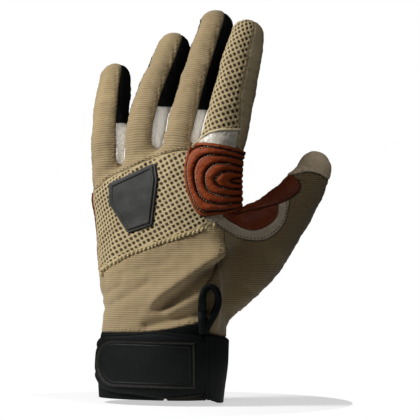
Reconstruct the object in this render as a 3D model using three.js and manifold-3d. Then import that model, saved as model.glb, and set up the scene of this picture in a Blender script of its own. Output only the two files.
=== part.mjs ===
// A rope work glove for the left hand, in the form that it has when it is worn, fingers up.
// Cloth and leather panels lie round one hollow that is open at the wrist.
// Millimetres. +Z points to the fingertips, -Y out of the back of the hand, +X to the thumb.
// The origin is the middle of the wrist opening.

import * as THREE from 'three';
import { mergeVertices } from 'three/addons/utils/BufferGeometryUtils.js';
import Module from 'manifold-3d';

const wasm = await Module();
wasm.setup();

// Driving dimensions
const WALL = 1.6;
const CUFF_WALL = 2.4;
const CUFF_HEIGHT = 40;
const SEAM = 0.3;
const RIM_DROP = 6;
const PATCH_BODY = 2.2;
const PATCH_QUILT = 3.4;
const QUILT_GROOVE = 1.6;
const PALM_PATCH = 1.5;
const BADGE_THICKNESS = 2.8;
const STRAP_THICKNESS = 2.3;
const PLATE_THICKNESS = 1.2;
const LOOP_THICKNESS = 4.7;
const PIPING_RADIUS = 1.3;
const PIPING_LIFT = 0.7;
const PIPING_SIDES = 6;
const PIPING_STEPS = 15;
const BACK_SEAM_ANGLE = 50;
const FRONT_SEAM_ANGLE = 130;
const ROOT_HEIGHT = 152.8;

// Smoothness of the faceted walls
const HAND_SIDES = { outer: 22, inner: 14 };
const FINGER_SIDES = { outer: 12, inner: 7 };
const TIP_STEPS = [45];

// Most seams are drawn on a plane that is turned 30 degrees from the back of the hand towards
// the thumb: u runs across it, z up it, and w is the distance out of it.
const TURN = THREE.MathUtils.degToRad(30);
const ACROSS = new THREE.Vector3(Math.cos(TURN), Math.sin(TURN), 0);
const OUTWARD = new THREE.Vector3(Math.sin(TURN), -Math.cos(TURN), 0);
const UP = new THREE.Vector3(0, 0, 1);
const DORSAL = new THREE.Vector3(0, -1, 0);
const FAR = 90;

// Level sections of the hand and wrist, superellipses of the given squareness
const HAND_SECTIONS = [
  { z: 0, x: -0.6, y: 0, halfX: 40, halfY: 26, square: 2.2 },
  { z: 20, x: 0.7, y: 0, halfX: 41.8, halfY: 27.4, square: 2.25 },
  { z: 36, x: 1.9, y: 0.2, halfX: 41.2, halfY: 26.8, square: 2.3 },
  { z: 52, x: 3.5, y: 0.6, halfX: 41, halfY: 25.7, square: 2.3 },
  { z: 64, x: 3.4, y: 1.2, halfX: 42.8, halfY: 25, square: 2.3 },
  { z: 77, x: 3.3, y: 2, halfX: 45.2, halfY: 24.2, square: 2.4 },
  { z: 87, x: 2.8, y: 2.6, halfX: 46, halfY: 23, square: 2.45 },
  { z: 98, x: 2.5, y: 3.2, halfX: 46.6, halfY: 21.6, square: 2.55 },
  { z: 110, x: 2.5, y: 4, halfX: 47.5, halfY: 20, square: 2.7 },
  { z: 124, x: 2.5, y: 4.4, halfX: 48.5, halfY: 18.6, square: 2.9 },
];

// The hand closes between the fingers: how far up to the crest, and how much of the section is left
const CREST_STEPS = [
  { rise: 0.8, keepX: 0.98, keepY: 0.88 },
  { rise: 0.95, keepX: 0.94, keepY: 0.66 },
  { rise: 1, keepX: 0.9, keepY: 0.35 },
];
const CREST_LINE = [
  { x: -52, z: 128 },
  { x: -38, z: 136 },
  { x: -26, z: 143 },
  { x: -13, z: 148.5 },
  { x: 0, z: 153 },
  { x: 24, z: 154 },
  { x: 37, z: 152 },
  { x: 52, z: 149 },
];

// Centre lines and radii of the fingers and the thumb, from inside the hand to the tip
const DIGITS = {
  little: [
    { x: -35.5, y: 4.2, z: 116, radius: 9.6 },
    { x: -38, y: 4.5, z: 130, radius: 11.3 },
    { x: -40.5, y: 6.5, z: 150, radius: 11.5 },
    { x: -42.5, y: 10, z: 169, radius: 11.4 },
    { x: -45.8, y: 22, z: 200.6, radius: 9.8 },
  ],
  ring: [
    { x: -14, y: 3.5, z: 122, radius: 11.8 },
    { x: -14, y: 4, z: 138, radius: 12.2 },
    { x: -15.8, y: 10, z: 169, radius: 12.4 },
    { x: -15.3, y: 19, z: 188, radius: 12 },
    { x: -13.3, y: 38.8, z: 218.8, radius: 10.8 },
  ],
  middle: [
    { x: 11, y: 3.5, z: 122, radius: 11.8 },
    { x: 11, y: 4, z: 140, radius: 12.2 },
    { x: 13, y: 11, z: 169, radius: 12.5 },
    { x: 14.8, y: 19.5, z: 191, radius: 12.1 },
    { x: 16.5, y: 30, z: 213, radius: 11.6 },
    { x: 17.9, y: 39.4, z: 232.2, radius: 10.8 },
  ],
  index: [
    { x: 36, y: 4.5, z: 122, radius: 12.2 },
    { x: 37, y: 5, z: 142, radius: 13.4 },
    { x: 39.5, y: 7.5, z: 156, radius: 14 },
    { x: 41.6, y: 10, z: 169, radius: 13.8 },
    { x: 47, y: 19, z: 209, radius: 12 },
    { x: 48.5, y: 24, z: 225, radius: 10.4 },
  ],
  thumb: [
    { x: 22, y: 8, z: 50, radius: 11 },
    { x: 38, y: 19, z: 67, radius: 14.4 },
    { x: 50, y: 28, z: 84, radius: 16.6 },
    { x: 58, y: 36, z: 98, radius: 15.6 },
    { x: 71.5, y: 51.5, z: 125, radius: 12.4 },
    { x: 75, y: 56.3, z: 134, radius: 11 },
    { x: 77.8, y: 59, z: 143, radius: 9.6 },
  ],
  web: [
    { x: 36, y: 10, z: 96, radius: 12 },
    { x: 47, y: 20, z: 105, radius: 11.5 },
    { x: 60, y: 36, z: 110.5, radius: 10.5 },
  ],
};

// Folds of the soft wrist cloth: a line on the turned plane, its depth and half width
const FOLDS = [
  { u1: 36, z1: 87, u2: -4, z2: 60, depth: 2.6, spread: 5 },
  { u1: 4, z1: 55, u2: 27, z2: 67, depth: -1.4, spread: 4.5 },
  { u1: -10, z1: 46, u2: 26, z2: 54, depth: 1.6, spread: 4 },
];

// The surface that parts the back of the glove from its palm
const PARTING = [
  { u: -62, w: -23.3 },
  { u: 20, w: -5 },
  { u: 44, w: 7 },
  { u: 52, w: 4 },
  { u: 62, w: 0 },
  { u: 75, w: -4 },
  { u: 105, w: -14 },
  { u: 120, w: -19 },
];

// Seams on the turned plane, each a row of [u, z], with the w that it starts from where that is
// not the parting
const SEAMS = {
  knuckle: [[-60, 126], [-42, 129.3], [-33, 136.7], [-15, 144.8], [7.5, 152.8],
    [18.3, 154.2, 13.5], [20.4, 158.6, 13.5]],
  meshLower: [[-60, 62], [-37.6, 77.9], [-21.8, 88.5], [3.1, 98.1], [29.9, 107.2], [35.6, 108.3]],
  wristSide: [[39.8, 106.5], [36.8, 86], [29.3, 71.3], [27.7, 61.1], [27.6, 45.5]],
  patchTop: [[18.4, 153.6, 13.5], [25.9, 156.5, 15], [40, 154.8, 17], [48.1, 152.8, 17], [66, 152.8, 17]],
  indexMeshLower: [[19.2, 154.6, 13.5], [29.9, 164.3, 15], [36.6, 166, 17], [49.4, 166.3, 17]],
  patchLower: [[28, 113.4], [40, 114.9], [56.7, 118.7], [66, 119.8]],
  bandOuter: [[28.4, 113.8], [35.3, 108.2], [48.1, 100.4], [57.6, 98.4], [65.7, 99.1], [72.5, 103.4],
    [77.2, 109.5], [79.2, 116.9], [79.6, 124.3]],
  lowerSaddle: [[39.6, 115.4], [40.4, 112.6], [46.7, 108.2], [53.6, 105.2], [60.3, 104.8], [67, 107.5],
    [72.5, 112.9], [72.8, 121]],
  thumbSaddle: [[45.8, 117], [55.4, 116.2], [64.8, 118.1], [76, 121.5], [86, 127], [87.2, 131],
    [86, 135.5], [83.4, 139.8]],
  cap: [[60, 128], [76, 137.4], [80.2, 138.3], [86, 139.9], [92.7, 140.9], [99.5, 139.6], [112, 134]],
  cuffFront: [[-60, 40], [-12.5, 41.7], [6.2, 44.2], [24.9, 48], [28, 47.3], [30.8, 40.9], [41, 38.2], [60, 38.2]],
  cuffBack: [[-60, 40], [41, 38.2], [60, 38.2]],
  thumbPalm: [[66, 119.8], [56.7, 118.7], [50, 112], [44, 98], [42, 80], [46, 60], [60, 50]],
};

// Where each web between two fingers ends and the dark side strips begin
const GAPS = [
  { first: 'little', second: 'ring', top: 172 },
  { first: 'ring', second: 'middle', top: 182 },
  { first: 'middle', second: 'index', top: 179.4 },
];
const WEB_BOTTOM = 134;
const LID_MARGIN = 2;

// Outlines on the turned plane, each a row of [u, z]
const OUTLINES = {
  badge: [[-31.3, 133.2], [-4, 145.3], [-2.1, 145], [-0.7, 135.6], [-3.9, 107.8], [-5.2, 107], [-18.7, 102.5],
    [-20, 103.2], [-31.3, 120.9]],
  patch: [[19.1, 154.8], [16.4, 147.3], [15.7, 138.6], [17.1, 129.1], [20.4, 120.4], [23.8, 114.9],
    [28.5, 113.4], [40, 115.2], [56.7, 119.2], [68, 120.5], [68, 150], [54.8, 152.4], [40, 156.8],
    [32.4, 158.1], [25.9, 158.3]],
  strap: [[26.4, 40.2], [-28.9, 40.6], [-34.8, 38.4], [-40, 32], [-44, 23], [-40, 13], [-34.8, 7],
    [-28.9, 4.4], [-16.4, 3.5], [26.4, 3.2]],
  plate: [[20.6, 35.8], [-30, 35.8], [-35.4, 30], [-37, 22], [-35.4, 14.6], [-30, 8.8], [20.6, 8.8]],
  tab: [[27, 41.1], [33, 40.5], [41, 37.6], [50, 36.8], [50, -1], [38.3, -1.1], [36.4, -2.5], [33, -1.2], [27, 1.6]],
  loop: [[25.1, 69.2], [26.8, 71.6], [31.5, 72.9], [35.5, 71.3], [38.3, 65.4], [38, 59.2], [35.5, 53.6],
    [33, 48.4], [28.5, 43], [24.6, 43], [24.8, 54]],
  loopHole: [[28, 68.4], [29.6, 70.2], [33, 70.2], [35.2, 66.8], [35.2, 61], [33.2, 57.6], [29, 57.6], [28, 60]],
};
const QUILT_ROWS = [
  [[42, 153.6], [27, 151.4], [22.2, 138], [26.6, 123], [42, 119.6]],
  [[42, 145.8], [32, 144.6], [29.8, 131], [42, 125.4]],
  [[42, 139.6], [36.6, 136], [43, 130.4]],
];
const PALM_OUTLINE = [[-60, 78], [-60, 124], [-30, 126], [10, 122], [18, 104], [6, 86], [-20, 78]];

// Colours, roughness and metalness of the finishes
const FINISHES = {
  ribbed: { color: 0x94805f, roughness: 0.95 },
  mesh: { color: 0xb9b3a3, roughness: 0.9 },
  leather: { color: 0xb5a88c, roughness: 0.75 },
  pale: { color: 0xd7d2c4, roughness: 0.5 },
  rust: { color: 0x8a4a2c, roughness: 0.6 },
  darkRust: { color: 0x4f2a1e, roughness: 0.6 },
  grey: { color: 0xb9b0a4, roughness: 0.7 },
  greyTan: { color: 0x85786a, roughness: 0.7 },
  black: { color: 0x1d1c1c, roughness: 0.85 },
  white: { color: 0xd9d6cf, roughness: 0.85 },
  rubber: { color: 0x16161a, roughness: 0.5 },
  piping: { color: 0xa98f67, roughness: 0.8 },
};

// A point of the turned plane in the part's own frame
function world(u, w, z) {
  return new THREE.Vector3().addScaledVector(ACROSS, u).addScaledVector(OUTWARD, w).setZ(z);
}

// The value of one column of a table, between the rows round the value of another
function lookUp(rows, from, value, to) {
  const last = rows.length - 1;
  if (value <= rows[0][from]) return rows[0][to];
  if (value >= rows[last][from]) return rows[last][to];
  const next = rows.findIndex((row) => row[from] > value);
  const [a, b] = [rows[next - 1], rows[next]];
  return THREE.MathUtils.lerp(a[to], b[to], (value - a[from]) / (b[from] - a[from]));
}

// A closed solid from a geometry whose corners are shared
function solidOf(geometry) {
  geometry.deleteAttribute('normal');
  geometry.deleteAttribute('uv');
  const merged = mergeVertices(geometry, 1e-4);
  const vertProperties = new Float32Array(merged.attributes.position.array);
  const triVerts = new Uint32Array(merged.index.array);
  const solid = new wasm.Manifold(new wasm.Mesh({ numProp: 3, vertProperties, triVerts }));
  if (solid.isEmpty()) throw new Error('a shape is empty');
  return solid;
}

// A closed skin through rings of equal count, with a point at each end. The second half of each
// ring is split the other way, so that the two faces of a thin twisted sheet stay parallel.
function loft(rings, startPoint, endPoint) {
  const count = rings[0].length;
  const points = [...rings.flat(), startPoint ?? middleOf(rings[0]), endPoint ?? middleOf(rings.at(-1))];
  const faces = [];
  const start = points.length - 2;
  const end = points.length - 1;
  const top = (rings.length - 1) * count;
  for (let side = 0; side < count; side += 1) {
    const next = (side + 1) % count;
    for (let ring = 0; ring < rings.length - 1; ring += 1) {
      const low = ring * count;
      const high = low + count;
      if (side < count / 2) {
        faces.push(low + side, low + next, high + next, low + side, high + next, high + side);
      } else {
        faces.push(low + side, low + next, high + side, low + next, high + next, high + side);
      }
    }
    faces.push(start, next, side);
    faces.push(end, top + side, top + next);
  }
  if (signedVolume(points, faces) < 0) faces.reverse();
  const geometry = new THREE.BufferGeometry().setFromPoints(points);
  geometry.setIndex(faces);
  return solidOf(geometry);
}

function middleOf(points) {
  const sum = new THREE.Vector3();
  points.forEach((point) => sum.add(point));
  return sum.divideScalar(points.length);
}

function signedVolume(points, faces) {
  let volume = 0;
  const normal = new THREE.Vector3();
  for (let i = 0; i < faces.length; i += 3) {
    normal.crossVectors(points[faces[i + 1]], points[faces[i + 2]]);
    volume += points[faces[i]].dot(normal);
  }
  return volume;
}

function joined(solids) {
  return solids.reduce((whole, solid) => whole.add(solid));
}

// How far the wrist cloth's folds push a point in, along the turned view
function foldDepth(point) {
  const u = point.dot(ACROSS);
  if (point.dot(OUTWARD) < lookUp(PARTING, 'u', u, 'w')) return 0;
  let depth = 0;
  for (const fold of FOLDS) {
    const line = new THREE.Line3(
      new THREE.Vector3(fold.u1, fold.z1, 0),
      new THREE.Vector3(fold.u2, fold.z2, 0),
    );
    const here = new THREE.Vector3(u, point.z, 0);
    const distance = line.closestPointToPoint(here, true, new THREE.Vector3()).distanceTo(here);
    depth += fold.depth * Math.exp(-((distance / fold.spread) ** 2));
  }
  return depth;
}

// One level ring of the hand, grown outward by grow
function handRing(row, grow, sides, heightAt) {
  const ring = [];
  for (let side = 0; side < sides; side += 1) {
    const angle = (side / sides) * Math.PI * 2;
    const reach = (value, half) => Math.sign(value) * Math.abs(value) ** (2 / row.square) * half;
    const x = row.x + reach(Math.cos(angle), row.halfX + grow);
    const y = row.y + reach(Math.sin(angle), row.halfY + grow);
    const point = new THREE.Vector3(x, y, heightAt(x));
    ring.push(point.addScaledVector(OUTWARD, -foldDepth(point)));
  }
  return ring;
}

// The hand and wrist, grown by grow(z) and lengthened below the rim by drop
function handBody(grow, drop, sides) {
  const rings = HAND_SECTIONS.map((row) => handRing(row, grow(row.z), sides, () => row.z));
  if (drop > 0) rings.unshift(rings[0].map((point) => point.clone().setZ(-drop)));
  const last = HAND_SECTIONS.at(-1);
  const extra = grow(last.z);
  for (const step of CREST_STEPS) {
    const row = { ...last, halfX: last.halfX * step.keepX, halfY: last.halfY * step.keepY };
    const crest = (x) => lookUp(CREST_LINE, 'x', x, 'z') + extra;
    rings.push(handRing(row, extra * step.keepY, sides, (x) => THREE.MathUtils.lerp(last.z, crest(x), step.rise)));
  }
  return loft(rings);
}

// Centre, tangent, dorsal and lateral directions at each row of a digit's table
function frames(rows) {
  const centres = rows.map((row) => new THREE.Vector3(row.x, row.y, row.z));
  return rows.map((row, i) => {
    const before = centres[Math.max(i - 1, 0)];
    const after = centres[Math.min(i + 1, rows.length - 1)];
    const tangent = after.clone().sub(before).normalize();
    const dorsal = DORSAL.clone().addScaledVector(tangent, -DORSAL.dot(tangent)).normalize();
    const lateral = new THREE.Vector3().crossVectors(tangent, dorsal);
    return { centre: centres[i], tangent, dorsal, lateral, radius: row.radius };
  });
}

// The direction out of a digit at an angle from its back, towards the thumb where positive
function spoke(frame, degrees) {
  const angle = THREE.MathUtils.degToRad(degrees);
  return frame.dorsal.clone().multiplyScalar(Math.cos(angle)).addScaledVector(frame.lateral, Math.sin(angle));
}

// A finger or thumb with a rounded tip
function digitBody(name, grow, sides) {
  const along = frames(DIGITS[name]);
  const tip = along.at(-1);
  const ringAt = (frame, centre, radius) => Array.from({ length: sides }, (_, side) =>
    centre.clone().addScaledVector(spoke(frame, (side / sides) * 360), radius));
  const rings = along.map((frame) => ringAt(frame, frame.centre, frame.radius + grow));
  for (const degrees of TIP_STEPS) {
    const angle = THREE.MathUtils.degToRad(degrees);
    const reach = tip.radius + grow;
    const centre = tip.centre.clone().addScaledVector(tip.tangent, reach * Math.sin(angle));
    rings.push(ringAt(tip, centre, reach * Math.cos(angle)));
  }
  const apex = tip.centre.clone().addScaledVector(tip.tangent, tip.radius + grow);
  return loft(rings, undefined, apex);
}

// The whole glove as one solid form, grown by grow millimetres
function gloveForm(grow, drop, inner) {
  const wall = (z) => (inner && z < CUFF_HEIGHT ? grow - (CUFF_WALL - WALL) : grow);
  const kind = inner ? 'inner' : 'outer';
  const digits = Object.keys(DIGITS).map((name) => digitBody(name, grow, FINGER_SIDES[kind]));
  return joined([handBody(wall, drop, HAND_SIDES[kind]), ...digits]);
}

// A thin cutting sheet through rows of inner point, outer point and unit normal
function sheet(rows, thickness = SEAM) {
  const half = thickness / 2;
  const rings = rows.map(({ inner, outer, normal }) => [
    inner.clone().addScaledVector(normal, -half),
    outer.clone().addScaledVector(normal, -half),
    outer.clone().addScaledVector(normal, half),
    inner.clone().addScaledVector(normal, half),
  ]);
  return loft(rings);
}

// Unit normals of a line of [u, z] corners, on the turned plane
function lineNormals(line) {
  return line.map((_, i) => {
    const before = line[Math.max(i - 1, 0)];
    const after = line[Math.min(i + 1, line.length - 1)];
    const du = after[0] - before[0];
    const dz = after[1] - before[1];
    return ACROSS.clone().multiplyScalar(-dz).addScaledVector(UP, du).normalize();
  });
}

// A sheet that follows a seam of the turned plane, from the parting out to a distance
function seamSheet(line, far = FAR, thickness = SEAM) {
  const normals = lineNormals(line);
  return sheet(line.map(([u, z, near], i) => {
    const start = near ?? lookUp(PARTING, 'u', u, 'w') - Math.sign(far) * SEAM;
    return { inner: world(u, start, z), outer: world(u, far, z), normal: normals[i] };
  }), thickness);
}

// A sheet along a finger's centre line, out to the angle that angleAt gives each row
function fingerSheet(name, fromZ, angleAt, lead = []) {
  const all = frames(DIGITS[name]);
  const tip = all.at(-1);
  const beyond = { ...tip, centre: tip.centre.clone().addScaledVector(tip.tangent, tip.radius + 4) };
  const kept = all.filter((frame) => frame.centre.z > fromZ);
  const first = all[all.length - kept.length - 1];
  const share = (fromZ - first.centre.z) / (kept[0].centre.z - first.centre.z);
  const centre = first.centre.clone().lerp(kept[0].centre, share);
  const along = [{ ...first, centre }, ...kept, beyond];
  const rows = along.map((frame, i) => {
    const way = spoke(frame, angleAt(frame.centre.z));
    if (i === 0) way.setZ(0);
    const outer = frame.centre.clone().addScaledVector(way, frame.radius + 4);
    return { inner: frame.centre, outer, normal: new THREE.Vector3().crossVectors(frame.tangent, way) };
  });
  return sheet([...lead, ...rows]);
}

// Where a digit's centre line passes a height
function centreAt(name, z) {
  const rows = DIGITS[name];
  return new THREE.Vector3(lookUp(rows, 'z', z, 'x'), lookUp(rows, 'z', z, 'y'), z);
}

// Half the depth of a web beside a digit, a little more than the side seams are apart
function webDepth(name, z) {
  const angle = THREE.MathUtils.degToRad(BACK_SEAM_ANGLE);
  return lookUp(DIGITS[name], 'z', z, 'radius') * Math.cos(angle) * 1.05;
}

// The thin box round one web: its walls part the web from the back, the front and the side strips
function webSheets({ first, second, top }) {
  const box = (margin) => loft([WEB_BOTTOM, 154, 168, top].map((level, i, levels) => {
    const z = i === levels.length - 1 ? level + margin : level;
    return [[first, -1], [second, -1], [second, 1], [first, 1]].map(([name, sign]) => {
      const centre = centreAt(name, z);
      return centre.setY(centre.y + sign * (webDepth(name, z) + margin));
    });
  }));
  const lid = [first, second].map((name) => {
    const centre = centreAt(name, top);
    const depth = webDepth(name, top) + LID_MARGIN;
    const [inner, outer] = [-depth, depth].map((step) => centre.clone().setY(centre.y + step));
    return { inner, outer, normal: UP };
  });
  return box(SEAM / 2).subtract(box(-SEAM / 2)).add(sheet(lid));
}

// The line round the palm side of the finger roots
function fingerRootSheet() {
  const stations = [
    { x: -64, y: -6.2 }, { x: -44, y: -6.2 }, { x: -43.9, y: -4.8 }, { x: -40.2, y: -4.8 }, { x: -40.1, y: 11 },
    { x: -26, y: 11.6 }, { x: -13, y: 12.6 },
    { x: 0, y: 12.6 }, { x: 24, y: 12.6 }, { x: 37, y: 12.6 }, { x: 43.9, y: 12.6 }, { x: 44, y: 6 }, { x: 66, y: 6 },
  ];
  return sheet(stations.map(({ x, y }) => {
    const z = x > 40 ? ROOT_HEIGHT : lookUp(CREST_LINE, 'x', x, 'z') + 0.6;
    return { inner: new THREE.Vector3(x, y, z), outer: new THREE.Vector3(x, 70, z), normal: UP };
  }));
}

// The parting at the little finger's edge runs on into that finger's back seam
function littleEdgeSheet() {
  const edge = [CUFF_HEIGHT - 1.2, 130].map((z) => {
    const [inner, outer] = [-10, -62].map((u) => world(u, lookUp(PARTING, 'u', u, 'w'), z));
    const normal = new THREE.Vector3().crossVectors(UP, outer.clone().sub(inner).normalize());
    return { inner, outer, normal };
  });
  return fingerSheet('little', 146, () => -BACK_SEAM_ANGLE, edge);
}

// The parting from the wrist up the thumb's edge to its cap, and up the index finger's edge
function thumbEdgeSheet() {
  const normal = new THREE.Vector3().crossVectors(UP, ACROSS);
  const capLine = SEAMS.cap.map(([u, z]) => ({ u, z }));
  const rows = [32, 38, 44, 52, 62, 76, 80.2, 86, 92.7, 99.5, 112].map((u) => {
    const inHand = u < 38 ? ROOT_HEIGHT - 25 : ROOT_HEIGHT + SEAM;
    const top = u > 76 ? lookUp(capLine, 'u', u, 'z') : inHand;
    const w = lookUp(PARTING, 'u', u, 'w');
    return { inner: world(u, w, 38), outer: world(u, w, top), normal };
  });
  return sheet(rows);
}

// All the seams as one set of thin cuts
function seamCuts() {
  const front = ['knuckle', 'meshLower', 'wristSide', 'patchTop', 'indexMeshLower', 'patchLower', 'bandOuter',
    'lowerSaddle', 'thumbSaddle', 'cap', 'cuffFront'];
  const back = ['cap', 'cuffBack', 'thumbPalm'];
  const cuts = front.map((name) => seamSheet(SEAMS[name]));
  cuts.push(...back.map((name) => seamSheet(SEAMS[name], -FAR)));
  cuts.push(...GAPS.map(webSheets), fingerRootSheet(), littleEdgeSheet(), thumbEdgeSheet());
  for (const { first, second, top } of GAPS) {
    for (const angle of [BACK_SEAM_ANGLE, FRONT_SEAM_ANGLE]) {
      cuts.push(fingerSheet(first, top - SEAM, () => angle));
      cuts.push(fingerSheet(second, top - SEAM, () => -angle));
    }
  }
  const indexAngle = (z) => THREE.MathUtils.mapLinear(THREE.MathUtils.clamp(z, 168, 188), 168, 188, 66, 50);
  cuts.push(fingerSheet('index', 152, indexAngle));
  return joined(cuts);
}

// A straight block over an outline of the turned plane, between two distances
function block(outline, near, far) {
  const shape = new THREE.Shape(outline.map(([u, z]) => new THREE.Vector2(u, z)));
  const geometry = new THREE.ExtrudeGeometry(shape, { depth: far - near, bevelEnabled: false, curveSegments: 1 });
  const frame = new THREE.Matrix4().makeBasis(ACROSS, UP, OUTWARD);
  frame.premultiply(new THREE.Matrix4().makeTranslation(OUTWARD.clone().multiplyScalar(near)));
  return solidOf(geometry.applyMatrix4(frame));
}

// A layer that lies on the glove over an outline
function layer(outline, near, under, over) {
  return block(outline, near, FAR).intersect(over).subtract(under);
}

function palmLayer(under, over) {
  const shape = new THREE.Shape(PALM_OUTLINE.map(([x, z]) => new THREE.Vector2(x, z)));
  const geometry = new THREE.ExtrudeGeometry(shape, { depth: FAR, bevelEnabled: false });
  const frame = new THREE.Matrix4().makeBasis(new THREE.Vector3(1, 0, 0), UP, DORSAL);
  frame.premultiply(new THREE.Matrix4().makeTranslation(0, FAR - 1.2, 0));
  return solidOf(geometry.applyMatrix4(frame)).intersect(over).subtract(under);
}

// The raised twisted piping along the mesh's lower seam
function piping(surface) {
  const line = SEAMS.meshLower.slice(1, -1).map(([u, z]) => surfacePoint(surface, u, z, PIPING_RADIUS + PIPING_LIFT));
  const path = new THREE.CatmullRomCurve3(line.flatMap((point, i) => {
    if (i === 0) return [point];
    const [a, b] = [SEAMS.meshLower[i], SEAMS.meshLower[i + 1]];
    const between = [1 / 3, 2 / 3].map((t) => surfacePoint(
      surface,
      THREE.MathUtils.lerp(a[0], b[0], t),
      THREE.MathUtils.lerp(a[1], b[1], t),
      PIPING_RADIUS + PIPING_LIFT,
    ));
    return [...between, point];
  }));
  const section = new THREE.Shape(Array.from({ length: PIPING_SIDES }, (_, i) => {
    const angle = (i / PIPING_SIDES) * Math.PI * 2;
    return new THREE.Vector2(Math.cos(angle), Math.sin(angle)).multiplyScalar(PIPING_RADIUS);
  }));
  return solidOf(new THREE.ExtrudeGeometry(section, { steps: PIPING_STEPS, bevelEnabled: false, extrudePath: path }));
}

// A point on the glove's outside at a place of the turned plane, lifted off it
function surfacePoint(surface, u, z, lift, fromBehind = false) {
  const sign = fromBehind ? -1 : 1;
  const ray = new THREE.Raycaster(world(u, sign * 300, z), OUTWARD.clone().multiplyScalar(-sign));
  const [hit] = ray.intersectObject(surface);
  if (!hit) throw new Error(`nothing at ${u}, ${z}`);
  return hit.point.clone().addScaledVector(OUTWARD, sign * lift);
}

// The geometry of a solid, with flat faces
function geometryOf(solid) {
  const mesh = solid.getMesh();
  const geometry = new THREE.BufferGeometry();
  geometry.setAttribute('position', new THREE.BufferAttribute(new Float32Array(mesh.vertProperties), 3));
  geometry.setIndex(new THREE.BufferAttribute(new Uint32Array(mesh.triVerts), 1));
  return geometry;
}

// Places in the middle of each panel, by which the cut panels get their names
function panelProbes(surface) {
  const seen = {
    knuckle_fabric: [-15, 165],
    hand_mesh: [5, 120],
    wrist_fabric: [0, 75],
    thumb_fabric: [60, 80],
    index_mesh: [45, 195],
    index_base_leather: [38, 161],
    thumb_saddle: [80, 128],
    lower_saddle: [58, 110],
    crotch_band: [60, 101.5],
    thumb_cap: [92, 150],
    cuff: [0, 20],
  };
  const hidden = {
    palm_leather: [0, 90],
    thumb_front: [78, 115],
    little_front: [-29, 185],
    ring_front: [-2, 190],
    middle_front: [25, 200],
    index_leather: [50, 195],
  };
  const probes = {};
  for (const [name, [u, z]] of Object.entries(seen)) probes[name] = surfacePoint(surface, u, z, -WALL / 2);
  for (const [name, [u, z]] of Object.entries(hidden)) {
    probes[name] = surfacePoint(surface, u, z, -WALL / 2, true);
  }
  const sideOf = (name, z, sign) => {
    const radius = lookUp(DIGITS[name], 'z', z, 'radius') - WALL / 2;
    return centreAt(name, z).addScaledVector(new THREE.Vector3(1, 0, 0), sign * radius);
  };
  for (const { first, second, top } of GAPS) {
    probes[`web_${first}_${second}`] = sideOf(first, top - 8, 1);
    probes[`${first}_${second}_side`] = sideOf(first, top + 12, 1);
    probes[`${second}_${first}_side`] = sideOf(second, top + 12, -1);
  }
  return probes;
}

// The cut panels of the wall, by name
function namedPanels(shell, probes) {
  const crumb = 2;
  const pieces = shell.decompose().filter((piece) => piece.volume() > crumb);
  const panels = {};
  for (const [name, point] of Object.entries(probes)) {
    const box = new THREE.BoxGeometry(2.4, 2.4, 2.4).translate(point.x, point.y, point.z);
    const probe = solidOf(box);
    const shares = pieces.map((piece) => piece.intersect(probe).volume());
    const best = shares.indexOf(Math.max(...shares));
    if (shares[best] <= 0) throw new Error(`no panel at ${name}`);
    const taken = Object.entries(panels).find(([, piece]) => piece === pieces[best]);
    if (taken) throw new Error(`${name} and ${taken[0]} are one panel`);
    panels[name] = pieces[best];
  }
  const spare = pieces.filter((piece) => !Object.values(panels).includes(piece));
  const places = spare.map((piece) => `${piece.volume().toFixed(1)} at ${piece.boundingBox().min.map(Math.round)}`);
  if (spare.length) throw new Error(`panels without a name: ${places.join('; ')}`);
  return panels;
}

const form = gloveForm(0, 0, false);
const lining = gloveForm(-WALL, RIM_DROP, true);
const surface = new THREE.Mesh(geometryOf(form), new THREE.MeshBasicMaterial({ side: THREE.DoubleSide }));
const panels = namedPanels(form.subtract(lining).subtract(seamCuts()), panelProbes(surface));

const under = gloveForm(SEAM, RIM_DROP, false);
const layers = {
  knuckle_patch: quiltedPatch(),
  palm_patch: palmLayer(under, gloveForm(PALM_PATCH, RIM_DROP, false)),
  badge: layer(OUTLINES.badge, 0, under, gloveForm(BADGE_THICKNESS, RIM_DROP, false)),
  ...wristLayers(),
  mesh_piping: piping(surface).subtract(form),
};

// The padded patch: a plain layer under quilted rows
function quiltedPatch() {
  const near = 8;
  const body = layer(OUTLINES.patch, near, under, gloveForm(PATCH_BODY, RIM_DROP, false));
  const quilt = layer(OUTLINES.patch, near, under, gloveForm(PATCH_QUILT, RIM_DROP, false));
  const grooves = joined(QUILT_ROWS.map((row) => seamSheet(row, FAR, QUILT_GROOVE)));
  return quilt.subtract(grooves).add(body);
}

// The wrist strap, its raised plate, the tab beside it and the pull loop above
function wristLayers() {
  const strapTop = SEAM + STRAP_THICKNESS;
  const strapForm = gloveForm(strapTop, RIM_DROP, false);
  const plateUnder = gloveForm(strapTop + SEAM, RIM_DROP, false);
  const plateForm = gloveForm(strapTop + SEAM + PLATE_THICKNESS, RIM_DROP, false);
  const loopForm = gloveForm(SEAM + LOOP_THICKNESS, RIM_DROP, false);
  return {
    wrist_strap: layer(OUTLINES.strap, -12, under, strapForm),
    strap_plate: layer(OUTLINES.plate, -11, plateUnder, plateForm),
    strap_tab: layer(OUTLINES.tab, -3, under, strapForm),
    pull_loop: layer(OUTLINES.loop, 5, under, loopForm).subtract(block(OUTLINES.loopHole, 0, FAR)),
  };
}

const FINISH_OF = {
  knuckle_fabric: 'ribbed', wrist_fabric: 'ribbed', thumb_fabric: 'ribbed', hand_mesh: 'mesh', index_mesh: 'mesh',
  index_base_leather: 'pale', knuckle_patch: 'rust', palm_patch: 'rust', thumb_saddle: 'darkRust',
  lower_saddle: 'darkRust', crotch_band: 'grey', thumb_cap: 'greyTan', badge: 'rubber', mesh_piping: 'piping',
  cuff: 'black', wrist_strap: 'black', strap_plate: 'rubber', strap_tab: 'black', pull_loop: 'black',
};

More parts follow.
